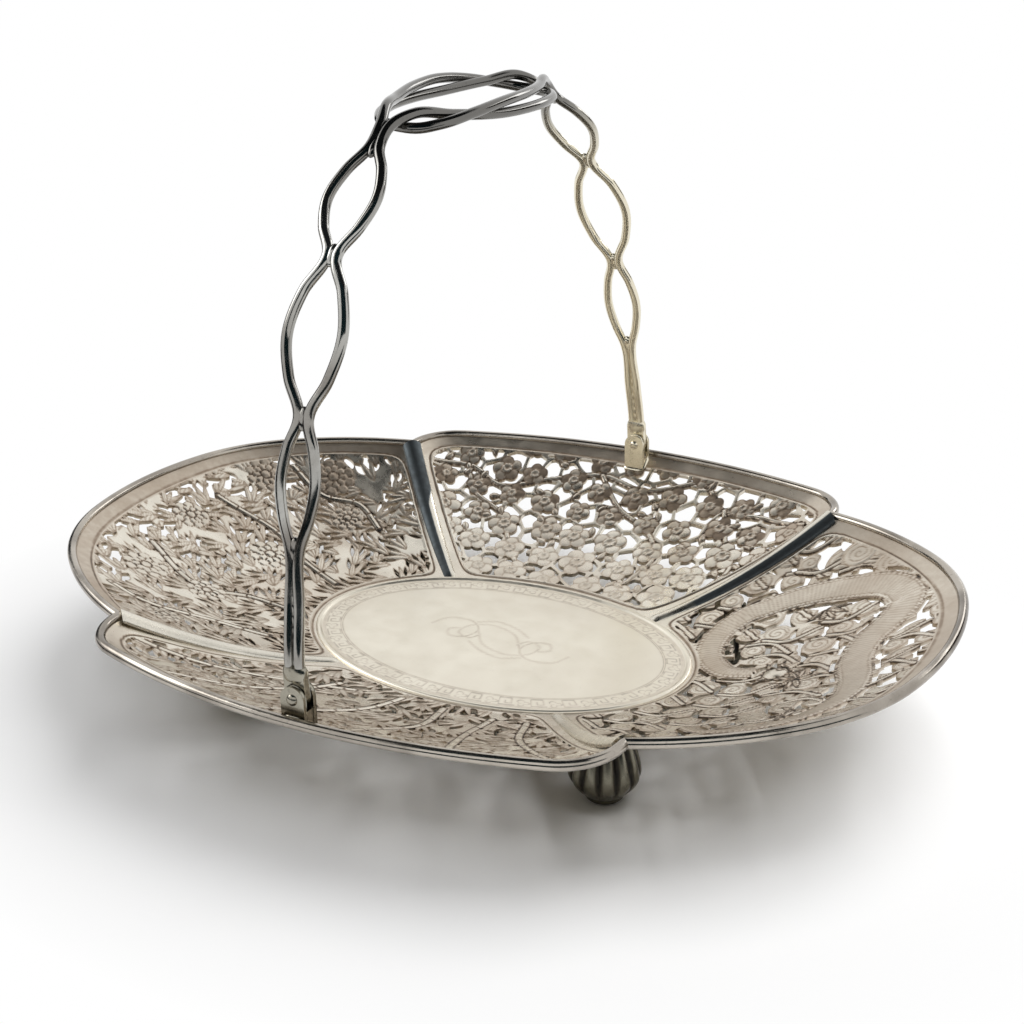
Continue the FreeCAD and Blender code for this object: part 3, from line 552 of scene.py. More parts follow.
    def web(self, spacing, half_width):
        """Rounded openings on a jittered net, parted by narrow bars."""
        low = self.low - spacing
        size = self.high + spacing - low
        first = np.full(self.x.shape, 1e3)
        second = np.full(self.x.shape, 1e3)
        for column in range(int(size[0] / spacing) + 1):
            for row in range(int(size[1] / spacing) + 1):
                x = low[0] + (column + 0.5 * (row % 2) + self.random.uniform(-0.3, 0.3)) * spacing
                y = low[1] + (row + self.random.uniform(-0.3, 0.3)) * spacing
                distance = np.hypot(self.x - x, self.y - y)
                second = np.minimum(second, np.maximum(first, distance))
                first = np.minimum(first, distance)
        bars = np.maximum(half_width - (second - first) / 2, first - LARGEST_OPENING)
        self.metal = np.maximum(self.metal, bars)
        self.relief = np.maximum(self.relief, 0.10 * smooth(bars / 0.5))

    def stalk(self, points, width, joints=0.0, rise=0.25):
        """Stem along a curve, with ringed joints where it is bamboo."""
        distance, travelled = to_path(self.x, self.y, curve_through(points))
        mask = distance < width
        self.add(mask, (width / 2 - distance)[mask], rise, width / 2, 0.28)
        if joints:
            ring = np.abs((travelled[mask] / joints + 0.5) % 1 - 0.5) * joints
            inside = distance[mask] < width / 2
            self.mark(mask, np.where(inside, smooth(1.3 - ring / 0.35), 0))
        return distance, travelled

    def leaf(self, base, angle, length, width, rise=0.2, depth=1.0):
        """Slender leaf with a midrib."""
        mask, x, y = self.near(base, length + 2)
        u = (x * math.cos(angle) + y * math.sin(angle)) / length
        v = -x * math.sin(angle) + y * math.cos(angle)
        inner = np.clip(u, 0.001, 0.999)
        half = width / 2 * np.sin(math.pi * inner ** 0.72)
        over = np.maximum(np.abs(u - 0.5) - 0.5, 0) * length
        self.add(mask, half - np.abs(v) - over, rise, 0.8, 0.3, depth)
        rib = (np.abs(v) < 0.7) & (u > 0.05) & (u < 0.8)
        self.mark(mask, np.where(rib, 0.7 * depth * smooth(1.3 - np.abs(v) / 0.26), 0))

    def blossom(self, center, radius, turn, tones):
        """Five broad petals, each of its own tone, about a brown beaded eye."""
        for petal, tone in enumerate(tones):
            angle = turn + 2 * math.pi * petal / 5
            place = (center[0] + 0.58 * radius * math.cos(angle), center[1] + 0.58 * radius * math.sin(angle))
            mask, x, y = self.near(place, radius)
            inside = 0.44 * radius - np.hypot(x, y)
            self.add(mask, inside, 0.13, 0.3 * radius)
            outline = 0.75 * smooth(1.4 - np.abs(inside) / 0.3)
            self.mark(mask, outline)
            self.ink[mask] = np.where(inside > 0, np.maximum(outline, tone), self.ink[mask])
        mask, x, y = self.near(center, 0.6 * radius)
        distance = np.hypot(x, y)
        eye = distance < 0.40 * radius
        ring = smooth(1.3 - np.abs(distance - 0.27 * radius) / 0.8)
        beads = ring * np.abs(np.cos(4 * (np.arctan2(y, x) - turn)))
        self.metal[mask] = np.maximum(self.metal[mask], 0.45 * radius - distance)
        self.relief[mask] = np.where(eye, 0.12 + 0.3 * beads, self.relief[mask])
        self.ink[mask] = np.where(eye, 0.5 - 0.5 * beads, self.ink[mask])
        self.line(mask, distance - 0.40 * radius, LINE, 0.7)

    def chrysanthemum(self, center, radius, petals, turn, tone):
        """Two rings of long petals about a domed eye, darkened by tone."""
        for ring, (reach, shift) in enumerate(((1.0, 0.0), (0.66, math.pi / petals))):
            mask, x, y = self.near(center, radius * 1.2)
            distance = np.hypot(x, y)
            wave = np.abs(np.cos(petals / 2 * (np.arctan2(y, x) - turn - shift)))
            edge = reach * radius * (0.74 + 0.26 * wave ** 0.55)
            inside = edge - distance
            self.add(mask, inside, 0.2 + 0.15 * ring, 0.9)
            body = inside > 0
            groove = np.where(body & (distance > 0.2 * radius), smooth(1.25 - wave / 0.34), 0)
            tip = np.where(body, np.maximum(smooth(1.2 - inside / 0.36) * 0.8, tone), 0)
            self.ink[mask] = np.where(body, np.maximum(groove, tip), self.ink[mask])
            self.relief[mask] -= np.where(body, 0.15 * smooth(1.25 - wave / 0.4), 0)
        mask, x, y = self.near(center, 0.5 * radius)
        distance = np.hypot(x, y)
        self.line(mask, distance - 0.25 * radius, 0.34)
        self.relief[mask] += 0.25 * smooth(1 - distance / (0.24 * radius))

    def ribbon(self, points, widths, hatch):
        """Long tapering body with a hatched back, a beaded edge and holes along both sides."""
        distance, travelled = self.stalk(points, 0.4, 0.0, 0.0)
        share = travelled / travelled.max()
        half = np.interp(share, np.linspace(0, 1, len(widths)), widths) / 2
        mask = (distance < half + 3) & (share > 0) & (share < 1)
        inside = (half - distance)[mask]
        along = travelled[mask]
        dash = np.abs((along / 9.5) % 1 - 0.5) * 9.5
        self.cut(mask, np.minimum(0.75 - np.abs(inside + 1.35), 3.3 - dash))
        self.metal[mask] = np.maximum(self.metal[mask], inside + 0.3)
        body = inside > 0
        relief = 0.4 * np.sqrt(np.clip(1 - (distance / np.maximum(half, 0.1)) ** 2, 0, 1))[mask]
        self.relief[mask] = np.where(body, relief, self.relief[mask])
        lines = (0.20 + 0.2 * smooth(1.2 - np.abs((along / hatch) % 1 - 0.5) * hatch / 0.3)) * (inside > 1.4)
        beads = np.abs((along / 1.5) % 1 - 0.5) * 1.5
        beads = smooth(1.3 - beads / 0.4) * (inside < 1.2)
        rail = smooth(1.3 - np.abs(inside - 1.35) / 0.3)
        rim = smooth(1.3 - np.abs(inside) / 0.35)
        lines = np.maximum(np.maximum(lines, 0.45 * rail), np.maximum(0.5 * beads, 0.8 * rim))
        self.ink[mask] = np.where(body, lines, self.ink[mask])

    def keep_joined(self):
        """Drops what no metal joins to the plain border."""
        solid = self.metal > 0
        reached = solid & (self.field < 0)
        while True:
            grown = reached.copy()
            grown[1:] |= reached[:-1]
            grown[:-1] |= reached[1:]
            grown[:, 1:] |= reached[:, :-1]
            grown[:, :-1] |= reached[:, 1:]
            grown &= solid
            if grown.sum() == reached.sum():
                break
            reached = grown
        self.metal[solid & ~reached] = -0.5

    def mesh(self):
        """Upper face, lower face and the walls of every opening, with the ink of each point: its engraving and
        its painted shade.
        """
        self.keep_joined()
        inside = self.metal > 0
        lift = (self.relief - 0.12 * self.ink)[..., None] * (0, 0, 1)
        both = np.concatenate([self.top + lift, self.top - (0, 0, SHEET)], -1)
        points = [both[inside]]
        inks = [self.ink[inside]]
        corner_index = np.full(inside.shape, -1)
        corner_index[inside] = np.arange(inside.sum())
        count = int(inside.sum())
        edge_index = []
        every, before, after = slice(None), slice(None, -1), slice(1, None)
        for here, there in (((before, every), (after, every)), ((every, before), (every, after))):
            change = inside[here] != inside[there]
            a, b = self.metal[here][change], self.metal[there][change]
            share = np.clip(a / (a - b), 0.06, 0.94)[:, None]
            points.append(both[here][change] * (1 - share) + both[there][change] * share)
            inks.append(np.maximum(self.ink[here][change], self.ink[there][change]))
            index = np.full(change.shape, -1)
            index[change] = count + np.arange(change.sum())
            count += int(change.sum())
            edge_index.append(index)
        points = np.concatenate(points)
        inks = np.concatenate(inks)
        tokens = (
            (corner_index[:-1, :-1], edge_index[0][:, :-1]),
            (corner_index[1:, :-1], edge_index[1][1:, :]),
            (corner_index[1:, 1:], edge_index[0][:, 1:]),
            (corner_index[:-1, 1:], edge_index[1][:-1, :]),
        )
        code = sum((tokens[k][0] >= 0).astype(int) << k for k in range(4))
        faces = []
        walls = []
        for case in range(1, 16):
            cells = code == case
            if not cells.any():
                continue
            loop = []
            for k in range(4):
                if case >> k & 1:
                    loop.append((tokens[k][0], False))
                if (case >> k & 1) != (case >> (k + 1) % 4 & 1):
                    loop.append((tokens[k][1], True))
            columns = np.stack([token[cells] for token, _ in loop], 1)
            faces.append(columns)
            for k, (_, crossing) in enumerate(loop):
                if crossing and loop[(k + 1) % len(loop)][1]:
                    walls.append(columns[:, [k, (k + 1) % len(loop)]])
        for edge in (corner_index[:, 0], corner_index[-1, :], corner_index[::-1, -1], corner_index[0, ::-1]):
            pairs = np.stack([edge[:-1], edge[1:]], 1)
            walls.append(pairs[(pairs >= 0).all(1)])
        walls = np.concatenate(walls)
        shift = len(points)
        a, b = self.top[1, 0] - self.top[0, 0], self.top[0, 1] - self.top[0, 0]
        turn = slice(None, None, 1 if a[0] * b[1] > a[1] * b[0] else -1)
        all_faces = []
        for columns in faces:
            all_faces += columns[:, turn].tolist()
            all_faces += (columns[:, turn][:, ::-1] + shift).tolist()
        ends = walls[:, turn]
        all_faces += np.column_stack([ends[:, 0], ends[:, 0] + shift, ends[:, 1] + shift, ends[:, 1]]).tolist()
        return (np.concatenate([points[:, :3], points[:, 3:]]), all_faces), np.concatenate([inks, inks * 0])


def plum_branches():
    """Back lobe: prunus blossom packed on crooked twigs."""
    work = Fretwork(LOBES["lobe_back"], 11, solid=False)
    work.web(7.6, 0.55)
    for branch in (
        ((-78, 80), (-60, 88), (-44, 84), (-28, 92), (-10, 98), (8, 95), (26, 101)),
        ((-60, 88), (-52, 78), (-38, 72), (-30, 62), (-22, 52)),
        ((-10, 98), (2, 86), (16, 78), (24, 66), (20, 52)),
        ((30, 100), (40, 90), (54, 88), (70, 84)),
        ((40, 90), (46, 76), (52, 64), (48, 54)),
    ):
        work.stalk(branch, 1.7, 0, 0.3)
    for place in work.places(13.4, 11.6, 1.6):
        # Petals towards the back rim are darkened, each by a random amount: a random tone, and painted shade
        # standing in for darker reflections there.
        high = smooth((place[1] - 64) / 18)
        tones = [high * work.random.uniform(0.0, 0.7) + 0.03 for _ in range(5)]
        work.blossom(place, work.random.uniform(5.2, 6.6) - 1.1 * high, work.random.uniform(0, 2), tones)
        angle = work.random.uniform(0, 2 * math.pi)
        bud = (place[0] + 6.9 * math.cos(angle), place[1] + 6.9 * math.sin(angle))
        work.leaf(bud, angle + 0.8, 4.6, 2.4, 0.25)
    outward = smooth((work.from_panel - 14) / 34)
    work.relief *= 0.6 + 0.4 * outward
    work.ink *= 0.45 + 0.55 * outward
    work.borders(0.22)
    return work


def leafy(name, seed, lean, opening):
    """Sheet pierced between slender leaves, with wider holes near the rim; lean turns every other fan."""
    work = Fretwork(LOBES[name], seed)
    places = sorted(work.places(7.4, 6.2, 1.8), key=work.rim_gap, reverse=True)
    for index, place in enumerate(places):
        outward = math.atan2(place[1], place[0])
        angle = outward + lean * (1 if index % 2 else -1) + work.random.uniform(-0.6, 0.6)
        width = 3.5 if work.rim_gap(place) < 20 else opening
        work.leaf_fan(place, angle, work.random.choice((2, 3)), work.random.uniform(8.6, 11.0), width)
    return work


def bamboo_grove():
    """Front lobe: bamboo stems among slender leaves."""
    work = leafy("lobe_front", 23, 0.75, 2.7)
    for stem in (
        ((-74, -84), (-56, -74), (-38, -62), (-20, -52)), ((-50, -98), (-38, -82), (-30, -64), (-26, -50)),
        ((-18, -104), (-14, -84), (-8, -66), (-6, -48)), ((10, -104), (8, -86), (12, -68), (8, -48)),
        ((40, -100), (32, -84), (26, -66), (24, -48)), ((66, -90), (52, -76), (40, -62), (34, -46)),
    ):
        work.stalk(stem, 2.2, 7.5)
    work.borders(0.12)
    return work


def chrysanthemums():
    """Left lobe: chrysanthemums and bamboo stems among slender leaves."""
    work = leafy("lobe_left", 37, 0.6, 1.5)
    for stem in (
        ((-72, 44), (-84, 50), (-97, 46), (-112, 50)), ((-68, 10), (-84, 14), (-100, 20), (-122, 18)),
        ((-68, -14), (-82, -18), (-96, -28), (-118, -22)), ((-62, -36), (-78, -44), (-92, -56), (-104, -58)),
    ):
        work.stalk(stem, 2.2, 8.0)
    # The flowers towards the back have a darker tone: painted shade, standing in for darker reflections there.
    for x, y, radius, tone in (
        (-110, -35, 7.2, 0.1), (-121, 2, 6.4, 0.1), (-117, 40, 7.4, 0.35), (-98, 55, 8.0, 0.42),
        (-93, 8, 7.4, 0.0), (-84, 42, 6.0, 0.2), (-92, -28, 6.4, 0.0), (-84, -58, 5.4, 0.1),
    ):
        work.chrysanthemum((x, y), radius, 9, work.random.uniform(0, 1), tone)
    work.borders(0.34)
    return work


def dragon_in_clouds():
    """Right lobe: a hatched dragon looping through cloud scrolls."""
    work = Fretwork(LOBES["lobe_right"], 53)
    places = work.places(9.8, 8.6, 1.4)
    for place in places:
        outer = work.rim_gap(place) < 17
        radius = work.random.uniform(2.8, 4.6)
        turn = work.random.uniform(0, 6)
        for part in range(2):
            gap, width = (1.9, 3.4) if outer else (1.4, 1.8)
            work.crescent(place, radius + gap, width, turn + 2.9 * part, 2.1)
        work.curl(place, radius, turn, work.random.choice((-1, 1)))
    for first, second in zip(places[::2], places[1::2]):
        if math.dist(first, second) < 14:
            bend = work.random.choice((-4.2, 4.2))
            middle = ((first[0] + second[0]) / 2, (first[1] + second[1]) / 2 + bend)
            ends = (first[0] - 3, first[1] + 0.8 * bend), (second[0] + 3, second[1] - 0.5 * bend)
            work.stalk((ends[0], middle, ends[1]), 1.7, rise=0.14)
    for place in ((95, 65), (107, 59), (124, 36)):
        work.curl(place, 5.6, work.random.uniform(0, 6), 1)
    body = ((82, 6), (72, 8), (64, 17), (62, 28), (66, 38), (72, 43), (84, 48.5), (98, 50), (110, 48), (117, 40),
            (116, 30), (112, 20), (112, 6), (116, -8), (117, -22), (110, -36), (98, -44), (86, -44), (78, -38))
    work.ribbon(body, (6.0, 8.4, 9.4, 10.6, 11.0, 10.0, 8.4, 6.0, 3.0), 1.3)
    head = (89, 5)
    for turn, length, width in ((0.1, 9, 4.2), (0.8, 9, 4.0), (2.2, 8, 2.6), (1.5, 8, 2.4), (-2.2, 8, 2.4)):
        work.leaf(head, turn, length, width, 0.5)
    mask, x, y = work.near(head, 5)
    work.add(mask, 3.8 - np.hypot(x, y), 0.7, 2.4, 0.35)
    mask, x, y = work.near((90, 6.4), 2)
    work.line(mask, np.hypot(x, y) - 0.9, 0.35)
    for place, start, claws in (((93, 41), -2.2, 5), ((97, -1), 0.3, 9), ((106, -28), 2.4, 4)):
        for claw in range(claws):
            work.leaf(place, start + 0.6 * claw, 7.5, 2.0, 0.4)
    # Darker towards the back: painted shade, standing in for darker reflections there.
    work.ink = np.maximum(work.ink, 0.2 * smooth((work.y - 42) / 20))
    work.borders(0.26)
    return work


# Materials

def new_material(name):
    material = bpy.data.materials.new(name)
    material.use_nodes = True
    return material, material.node_tree


def node(tree, kind, inputs=(), **settings):
    """Shader node; inputs gives its sockets, by name or number, a value or another node's output."""
    made = tree.nodes.new(kind)
    for name, value in settings.items():
        setattr(made, name, value)
    for key, value in dict(inputs).items():
        socket = made.inputs[key]
        if isinstance(value, bpy.types.NodeSocket):
            tree.links.new(value, socket)
        else:
            socket.default_value = value + (1.0,) if socket.type == "RGBA" else value
    return made


def mixed(tree, share, first, second):
    """Colour between two, each an output or a fixed colour."""
    return node(tree, "ShaderNodeMix", {0: share, 6: first, 7: second}, data_type="RGBA").outputs[2]


def ranged(tree, value, low, high, out_low=0.0, out_high=1.0):
    ranges = {"Value": value, "From Min": low, "From Max": high, "To Min": out_low, "To Max": out_high}
    return node(tree, "ShaderNodeMapRange", ranges).outputs[0]


def silver(name, bright, toned, dark, roughness, toning, engraved=False, wear=0.2, pale_back_painted_light=None, crown=None,
           slot_name=None):
    """Old silver: bright metal, warm where it is toned, brown to near black in its engraving and where its ink
    is painted shade.

    Its paler colour towards the back is painted light, standing in for brighter reflections there, and its crown
    colour, darker at the top of the handle, is painted shade, standing in for dark reflections on the loops. The
    answer is the material and a slot name for it."""
    material, tree = new_material(name)
    place = node(tree, "ShaderNodeTexCoord").outputs["Object"]
    parts = node(tree, "ShaderNodeSeparateXYZ", {0: place}).outputs

    def noise(scale, detail, distortion=0.0):
        inputs = {"Vector": place, "Scale": scale, "Detail": detail, "Distortion": distortion}
        return node(tree, "ShaderNodeTexNoise", inputs).outputs["Fac"]

    colour = mixed(tree, ranged(tree, noise(34, 5, 0.6), 0.42, 0.68, 0.0, toning), bright, toned)
    # Painted light: paler colour towards the back.
    if pale_back_painted_light:
        colour = mixed(tree, ranged(tree, parts["Y"], PAINTED_LIGHT_START, PAINTED_LIGHT_END), colour, pale_back_painted_light)
    # Painted shade: darker colour at the top of the handle.
    if crown:
        colour = mixed(tree, ranged(tree, parts["Z"], PAINTED_SHADE_TOP_START, PAINTED_SHADE_TOP_END), colour, crown)
    colour = mixed(tree, ranged(tree, noise(900, 3), 0.60, 0.80, 0.0, wear), colour, dark)
    rough = ranged(tree, noise(160, 4), 0.35, 0.7, roughness - 0.05, roughness + 0.1)
    if engraved:
        ink = node(tree, "ShaderNodeAttribute", attribute_name="ink").outputs["Fac"]
        worn = ranged(tree, noise(420, 3), 0.3, 0.6, 0.75)
        depth = node(tree, "ShaderNodeMath", {0: ink, 1: worn}, operation="MULTIPLY").outputs[0]
        colour = mixed(tree, ranged(tree, depth, 0.0, 0.5), colour, toned)
        colour = mixed(tree, ranged(tree, depth, 0.35, 1.0), colour, dark)
        rough = node(tree, "ShaderNodeMix", {0: depth, 2: rough, 3: 0.55}).outputs[0]
    bumps = {"Height": noise(700, 3), "Strength": 0.12, "Distance": 0.0001}
    fine = node(tree, "ShaderNodeBump", bumps).outputs["Normal"]
    dents = {"Height": noise(70, 2), "Strength": 0.25, "Distance": 0.0004, "Normal": fine}
    shader = tree.nodes["Principled BSDF"]
    shader.inputs["Metallic"].default_value = 1.0
    tree.links.new(colour, shader.inputs["Base Color"])
    tree.links.new(rough, shader.inputs["Roughness"])
    tree.links.new(node(tree, "ShaderNodeBump", dents).outputs["Normal"], shader.inputs["Normal"])
    return material, slot_name or name


PIERCED = silver("pierced_silver", BRIGHT, TONED, TARNISH, 0.26, 0.45, engraved=True)
PANEL = silver("panel_silver", (0.845, 0.795, 0.68), (0.72, 0.65, 0.55), TARNISH, 0.34, 0.25, True, wear=0.04)
RIM = silver("rim_silver", (0.48, 0.44, 0.385), (0.15, 0.13, 0.11), TARNISH, 0.16, 0.85, wear=0.3)
# The seam's toned and dark colours paint the shade on the outer flank of the back lobe's seams.
SEAM = silver("seam_silver", (0.74, 0.70, 0.61), (0.10, 0.12, 0.13), SLATE, 0.24, 0.1, engraved=True,
              slot_name="pierced_silver")
# The feet's dark colours are partly tarnish and partly painted shade, standing in for dark reflections of the
# shaded floor.
CAST = silver("cast_silver", (0.24, 0.225, 0.175), (0.08, 0.07, 0.05), TARNISH, 0.24, 0.6, True, wear=0.4)
# The hinges and the handle turn paler towards the back: painted light.
HINGE = silver("hinge_silver", (0.38, 0.36, 0.30), (0.14, 0.12, 0.09), TARNISH, 0.2, 0.7, wear=0.4, pale_back_painted_light=PALE_BACK_PAINTED_LIGHT)
# The handle's crown colour darkens its top: painted shade.
HANDLE = silver("handle_silver", (0.44, 0.435, 0.41), (0.15, 0.13, 0.11), SLATE, 0.12, 0.8, wear=0.3,
                pale_back_painted_light=PALE_BACK_PAINTED_LIGHT, crown=(0.165, 0.16, 0.15))


# Dish

def lobe_piece(work):
    shape, ink = work.mesh()
    name = work.lobe.name
    mesh_piece(name + "_fretwork", shape, PIERCED, 50, ink, name)


def rim_piece(lobe):
    """Polished round wire along one stretch of the rim, pinched where it meets its neighbour."""
    name = lobe.name.replace("lobe", "rim_wire")
    path = lobe.rim_point(np.linspace(0, 1, int(lobe.lengths[-1] / 1.2)))
    mesh_piece(name + "_polished", tube(path, RIM_WIRE / 2, 24), RIM, node_name=name)


def seam_piece(lobe, end):
    """Broad rounded fold down a seam, dying into the sheet at the panel. On the back lobe its outer flank
    carries painted shade.
    """
    along = 0.0 if end == "start" else 1.0
    inward = unit((lobe.rim_point(0.5) - lobe.rim_point(along)) * (1, 1, 0))
    way = unit((lobe.top(along, 1.0) - lobe.top(along, 0.0)) * (1, 1, 0))
    aside = unit(inward - way * inward.dot(way))
    arch = np.linspace(0, 1, 22)
    both_ways = np.concatenate([arch, arch[::-1]])
    sections = []
    inks = []
    for share in np.linspace(0.0, 0.985, 60):
        place = lobe.top(along, share)
        height = ROLL_HEIGHT * (0.45 + 0.55 * share) * min(share / 0.04 + 0.2, 1)
        width = ROLL_WIDTH * (0.6 + 0.4 * share)
        rise = [height * math.sin(math.pi * t) ** 0.7 - 0.25 for t in arch] + [-0.8 * SHEET] * len(arch)
        flat = np.outer(width * (both_ways - ROLL_OUTER_SHARE), aside)
        sections.append(place + flat + np.outer(rise, (0, 0, 1)))
        # Painted shade, on the back lobe only: ink darkens the outer flank, over nearly all of it towards the
        # rim on the left seam, and fading out near the panel on the right one.
        if place[0] < 0:
            shaded_share = 0.60 + 0.4 * smooth((share - 0.55) / 0.15)
            depth = 0.80 + 0.08 * math.sin(11 * share)
        else:
            shaded_share = 0.46
            depth = (0.85 + 0.07 * math.sin(14 * share)) * smooth((share - 0.12) / 0.2)
        inks.append(depth * smooth((shaded_share - both_ways) / 0.12) * (lobe.name == "lobe_back"))
    shape = rings(sections)
    if end == "start":
        shape = flipped(shape)
    name = "seam_roll_%s_%s" % (lobe.name[5:], end)
    mesh_piece(name, shape, SEAM, 40, np.concatenate(inks))


# Centre panel

FRET = ((0.0, 0.0), (0.0, 1.0), (0.8, 1.0), (0.8, 0.25), (0.4, 0.25), (0.4, 0.62))
FRET_RAIL = ((0.0, 0.0), (1.0, 0.0))
SCROLL = (
    ((-25, 1), (-22, 7), (-14, 8), (-9, 3), (-11, -3), (-16, -4), (-18, 0), (-15, 2)),
    ((-9, 3), (-3, -5), (6, -8), (13, -5), (14, 1), (9, 3), (7, -1)),
    ((-12, 8), (-6, 11), (2, 9), (8, 5)),
)


def panel_border(width, up):
    """Engraving of the border, which has a key-fret and a small leaf by turns: width 0 to 2, up 0 to 1."""
    across = np.clip(width, 0, 1)
    height = np.full(len(width), up)
    gap = np.minimum(to_path(across, height, FRET)[0], to_path(across, height, FRET_RAIL)[0])
    petals = np.abs(np.cos(1.5 * np.arctan2(up - 0.35, width - 1.5)))
    reach = np.hypot((width - 1.5) * 1.2, up - 0.4)
    leaf = smooth(1.3 - np.abs(reach - 0.16 - 0.34 * petals) / 0.10)
    return np.where(width < 1, smooth(1.3 - gap / 0.09), leaf)


def scroll_gap(plan):
    """Distance to a plain pair of leaf scrolls, one the other turned half round."""
    curves = [curve_through(points, 2.0) * sign for points in SCROLL for sign in (1, -1)]
    return np.min([to_path(*plan.T, curve)[0] for curve in curves], axis=0)


def panel_piece():
    """Oval plate with a rounded bead, an engraved band of key-fret and a plain middle."""
    turns = full_turn(900)
    step = turns[1]
    speed = np.hypot(HALF_PANEL[0] * np.sin(turns), HALF_PANEL[1] * np.cos(turns))
    travelled = np.concatenate([[0], np.cumsum((speed[1:] + speed[:-1]) / 2)]) * step
    share = travelled / (travelled[-1] + speed[0] * step) * FRET_REPEATS
    sections = [level_ring(turns, 0, HALF_PANEL * scale, PANEL_TOP - SHEET) for scale in (0.1, 0.6, 1.0)]
    inks = [np.zeros(3 * len(turns))]
    insets = [0.0, 0.25, 0.6, 1.0, 1.4, 1.75, *np.linspace(2.05, 9.6, 26), *np.linspace(10.4, 42.0, 44)]
    for inset in insets:
        reach = HALF_PANEL - inset
        if inset == insets[-1]:
            reach = np.array([20.8, 0.2])
        ring = level_ring(turns, 0, reach, PANEL_TOP)
        if inset < BEAD_WIDTH:
            ring[:, 2] += BEAD_HEIGHT * math.sqrt(max(1 - (2 * inset / BEAD_WIDTH - 1) ** 2, 0))
        ink = np.zeros(len(turns))
        for line in BORDER_LINES:
            ink = np.maximum(ink, 0.6 * float(smooth(1.35 - abs(inset - line) / 0.2)))
        if 3.4 < inset < 7.9:
            ink = np.maximum(ink, 0.5 * panel_border(share % 2, (inset - FRET_INSET) / FRET_WIDTH))
        if inset > 12:
            ink = np.maximum(ink, 0.42 * smooth(1.3 - scroll_gap(ring[:, :2]) / 0.5))
        ring[:, 2] -= 0.10 * ink
        sections.append(ring)
        inks.append(ink)
    mesh_piece("panel_engraved", rings(sections), PANEL, 40, np.concatenate(inks), "centre_panel")


# Feet

def dish_points():
    """A thinned set of places on the dish's upper face."""
    along, out = np.meshgrid(np.linspace(0, 1, 130), np.linspace(0, 1, 50), indexing="ij")
    return np.concatenate([lobe.top(along, out).reshape(-1, 3) for lobe in LOBES.values()])


def foot_piece(across, along, dish):
    """Melon-shaped cast foot on a small round base, cut to the dish it is soldered under."""
    center = np.array([FOOT_REACH[along], FOOT_PLACES[across]])
    turns = full_turn(FOOT_RIBS * 12)
    near = dish[np.hypot(dish[:, 0] - center[0], dish[:, 1] - center[1]) < FOOT_WIDTH]
    sections = []
    inks = []
    for height in np.concatenate([[0.0, 0.02, 0.1, 0.112, 0.118], np.linspace(0.135, FOOT_TOP, 40)]):
        radius = FOOT_BASE_SHARE - 0.03 * (height < 0.01)
        ribs = np.zeros(len(turns))
        lift = (height - FOOT_BODY_START) / (FOOT_TOP - FOOT_BODY_START)
        if lift > 0:
            fall = max(lift - FOOT_WIDEST, 0) / (1 - FOOT_WIDEST)
            radius = 0.60 + 0.40 * math.sin(math.pi / 2 * min(lift / FOOT_WIDEST, 1.0)) - 0.34 * fall ** 1.5
            depth = 1.15 * min(lift / 0.12, 1.0) * math.sin(math.pi / 2 * min(lift / 0.68, 1.0))
            ribs = depth * (1 - np.abs(np.cos(FOOT_RIBS / 2 * turns)) ** 0.9)
        spread = radius * FOOT_WIDTH / 2 - ribs
        ring = level_ring(turns, center, spread[:, None], height * PANEL_TOP)
        if height > 0.8:
            gaps = (ring[:, None, 0] - near[:, 0]) ** 2 + (ring[:, None, 1] - near[:, 1]) ** 2
            ring[:, 2] = np.minimum(ring[:, 2], near[gaps.argmin(1), 2] - SHEET - 0.05)
        sections.append(ring)
        inks.append(smooth(ribs / 0.55 - 0.2) * 0.95)
    name = "foot_%s_%s" % (across, along)
    mesh_piece(name + "_ribbed", rings(sections), CAST, 50, np.concatenate(inks), name)


# Hinges

def eye_outline(half_width, end, sign):
    """Outline in X and Z about the pin: round on one side of it, and straight at the given height."""
    turns = np.linspace(math.pi, 0, 28)
    curve = sign * half_width * np.stack([np.cos(turns), np.sin(turns)], 1)
    return np.array([(-sign * half_width, end), *curve, (sign * half_width, end)])


def soft_box(reach, power, count):
    """Plan of a level ring between an oval and a box."""
    ways = np.stack([np.cos(full_turn(count)), np.sin(full_turn(count))], 1)
    return np.copysign(np.abs(ways) ** power, ways) * reach


def hinge_place(side):
    return np.array([0, side * HINGE_REACH, HINGE_HEIGHT])


def bracket_piece(side_name, side):
    """Two round-topped ears on a small foot strip, soldered to the plain band inside the rim."""
    center = hinge_place(side)
    half = EAR_WIDTH / 2
    parts = []
    for ear in (-1, 1):
        low, high = sorted((ear * EAR_GAP / 2, ear * (EAR_GAP / 2 + EAR)))
        parts.append(moved(plate(eye_outline(half, -BRACKET_DROP, 1), low, high, 0.28), center))
    strip = [(-half, -BRACKET_DROP), (-half, SEAT_TOP), (half, SEAT_TOP), (half, -BRACKET_DROP)]
    parts.append(moved(plate(strip, -EAR_GAP / 2 - 0.1, EAR_GAP / 2 + 0.1, 0.05), center))
    weld = soft_box(WELD, 0.5, 40)
    surface = LOBES["lobe_" + side_name].top(np.full(60, 0.5), np.linspace(0.8, 1.0, 60))
    seat = np.interp(np.abs(weld[:, 1] + center[1]), np.abs(surface[:, 1]), surface[:, 2])
    parts.append(rings([np.column_stack([weld * grow + center[:2], seat + height])
                        for height, grow in ((-0.5, 1.0), (0.25, 1.0), (0.6, 0.93), (0.9, 0.80))]))
    name = "hinge_bracket_" + side_name
    mesh_piece(name + "_clevis", join(parts), HINGE, 35, node_name=name)


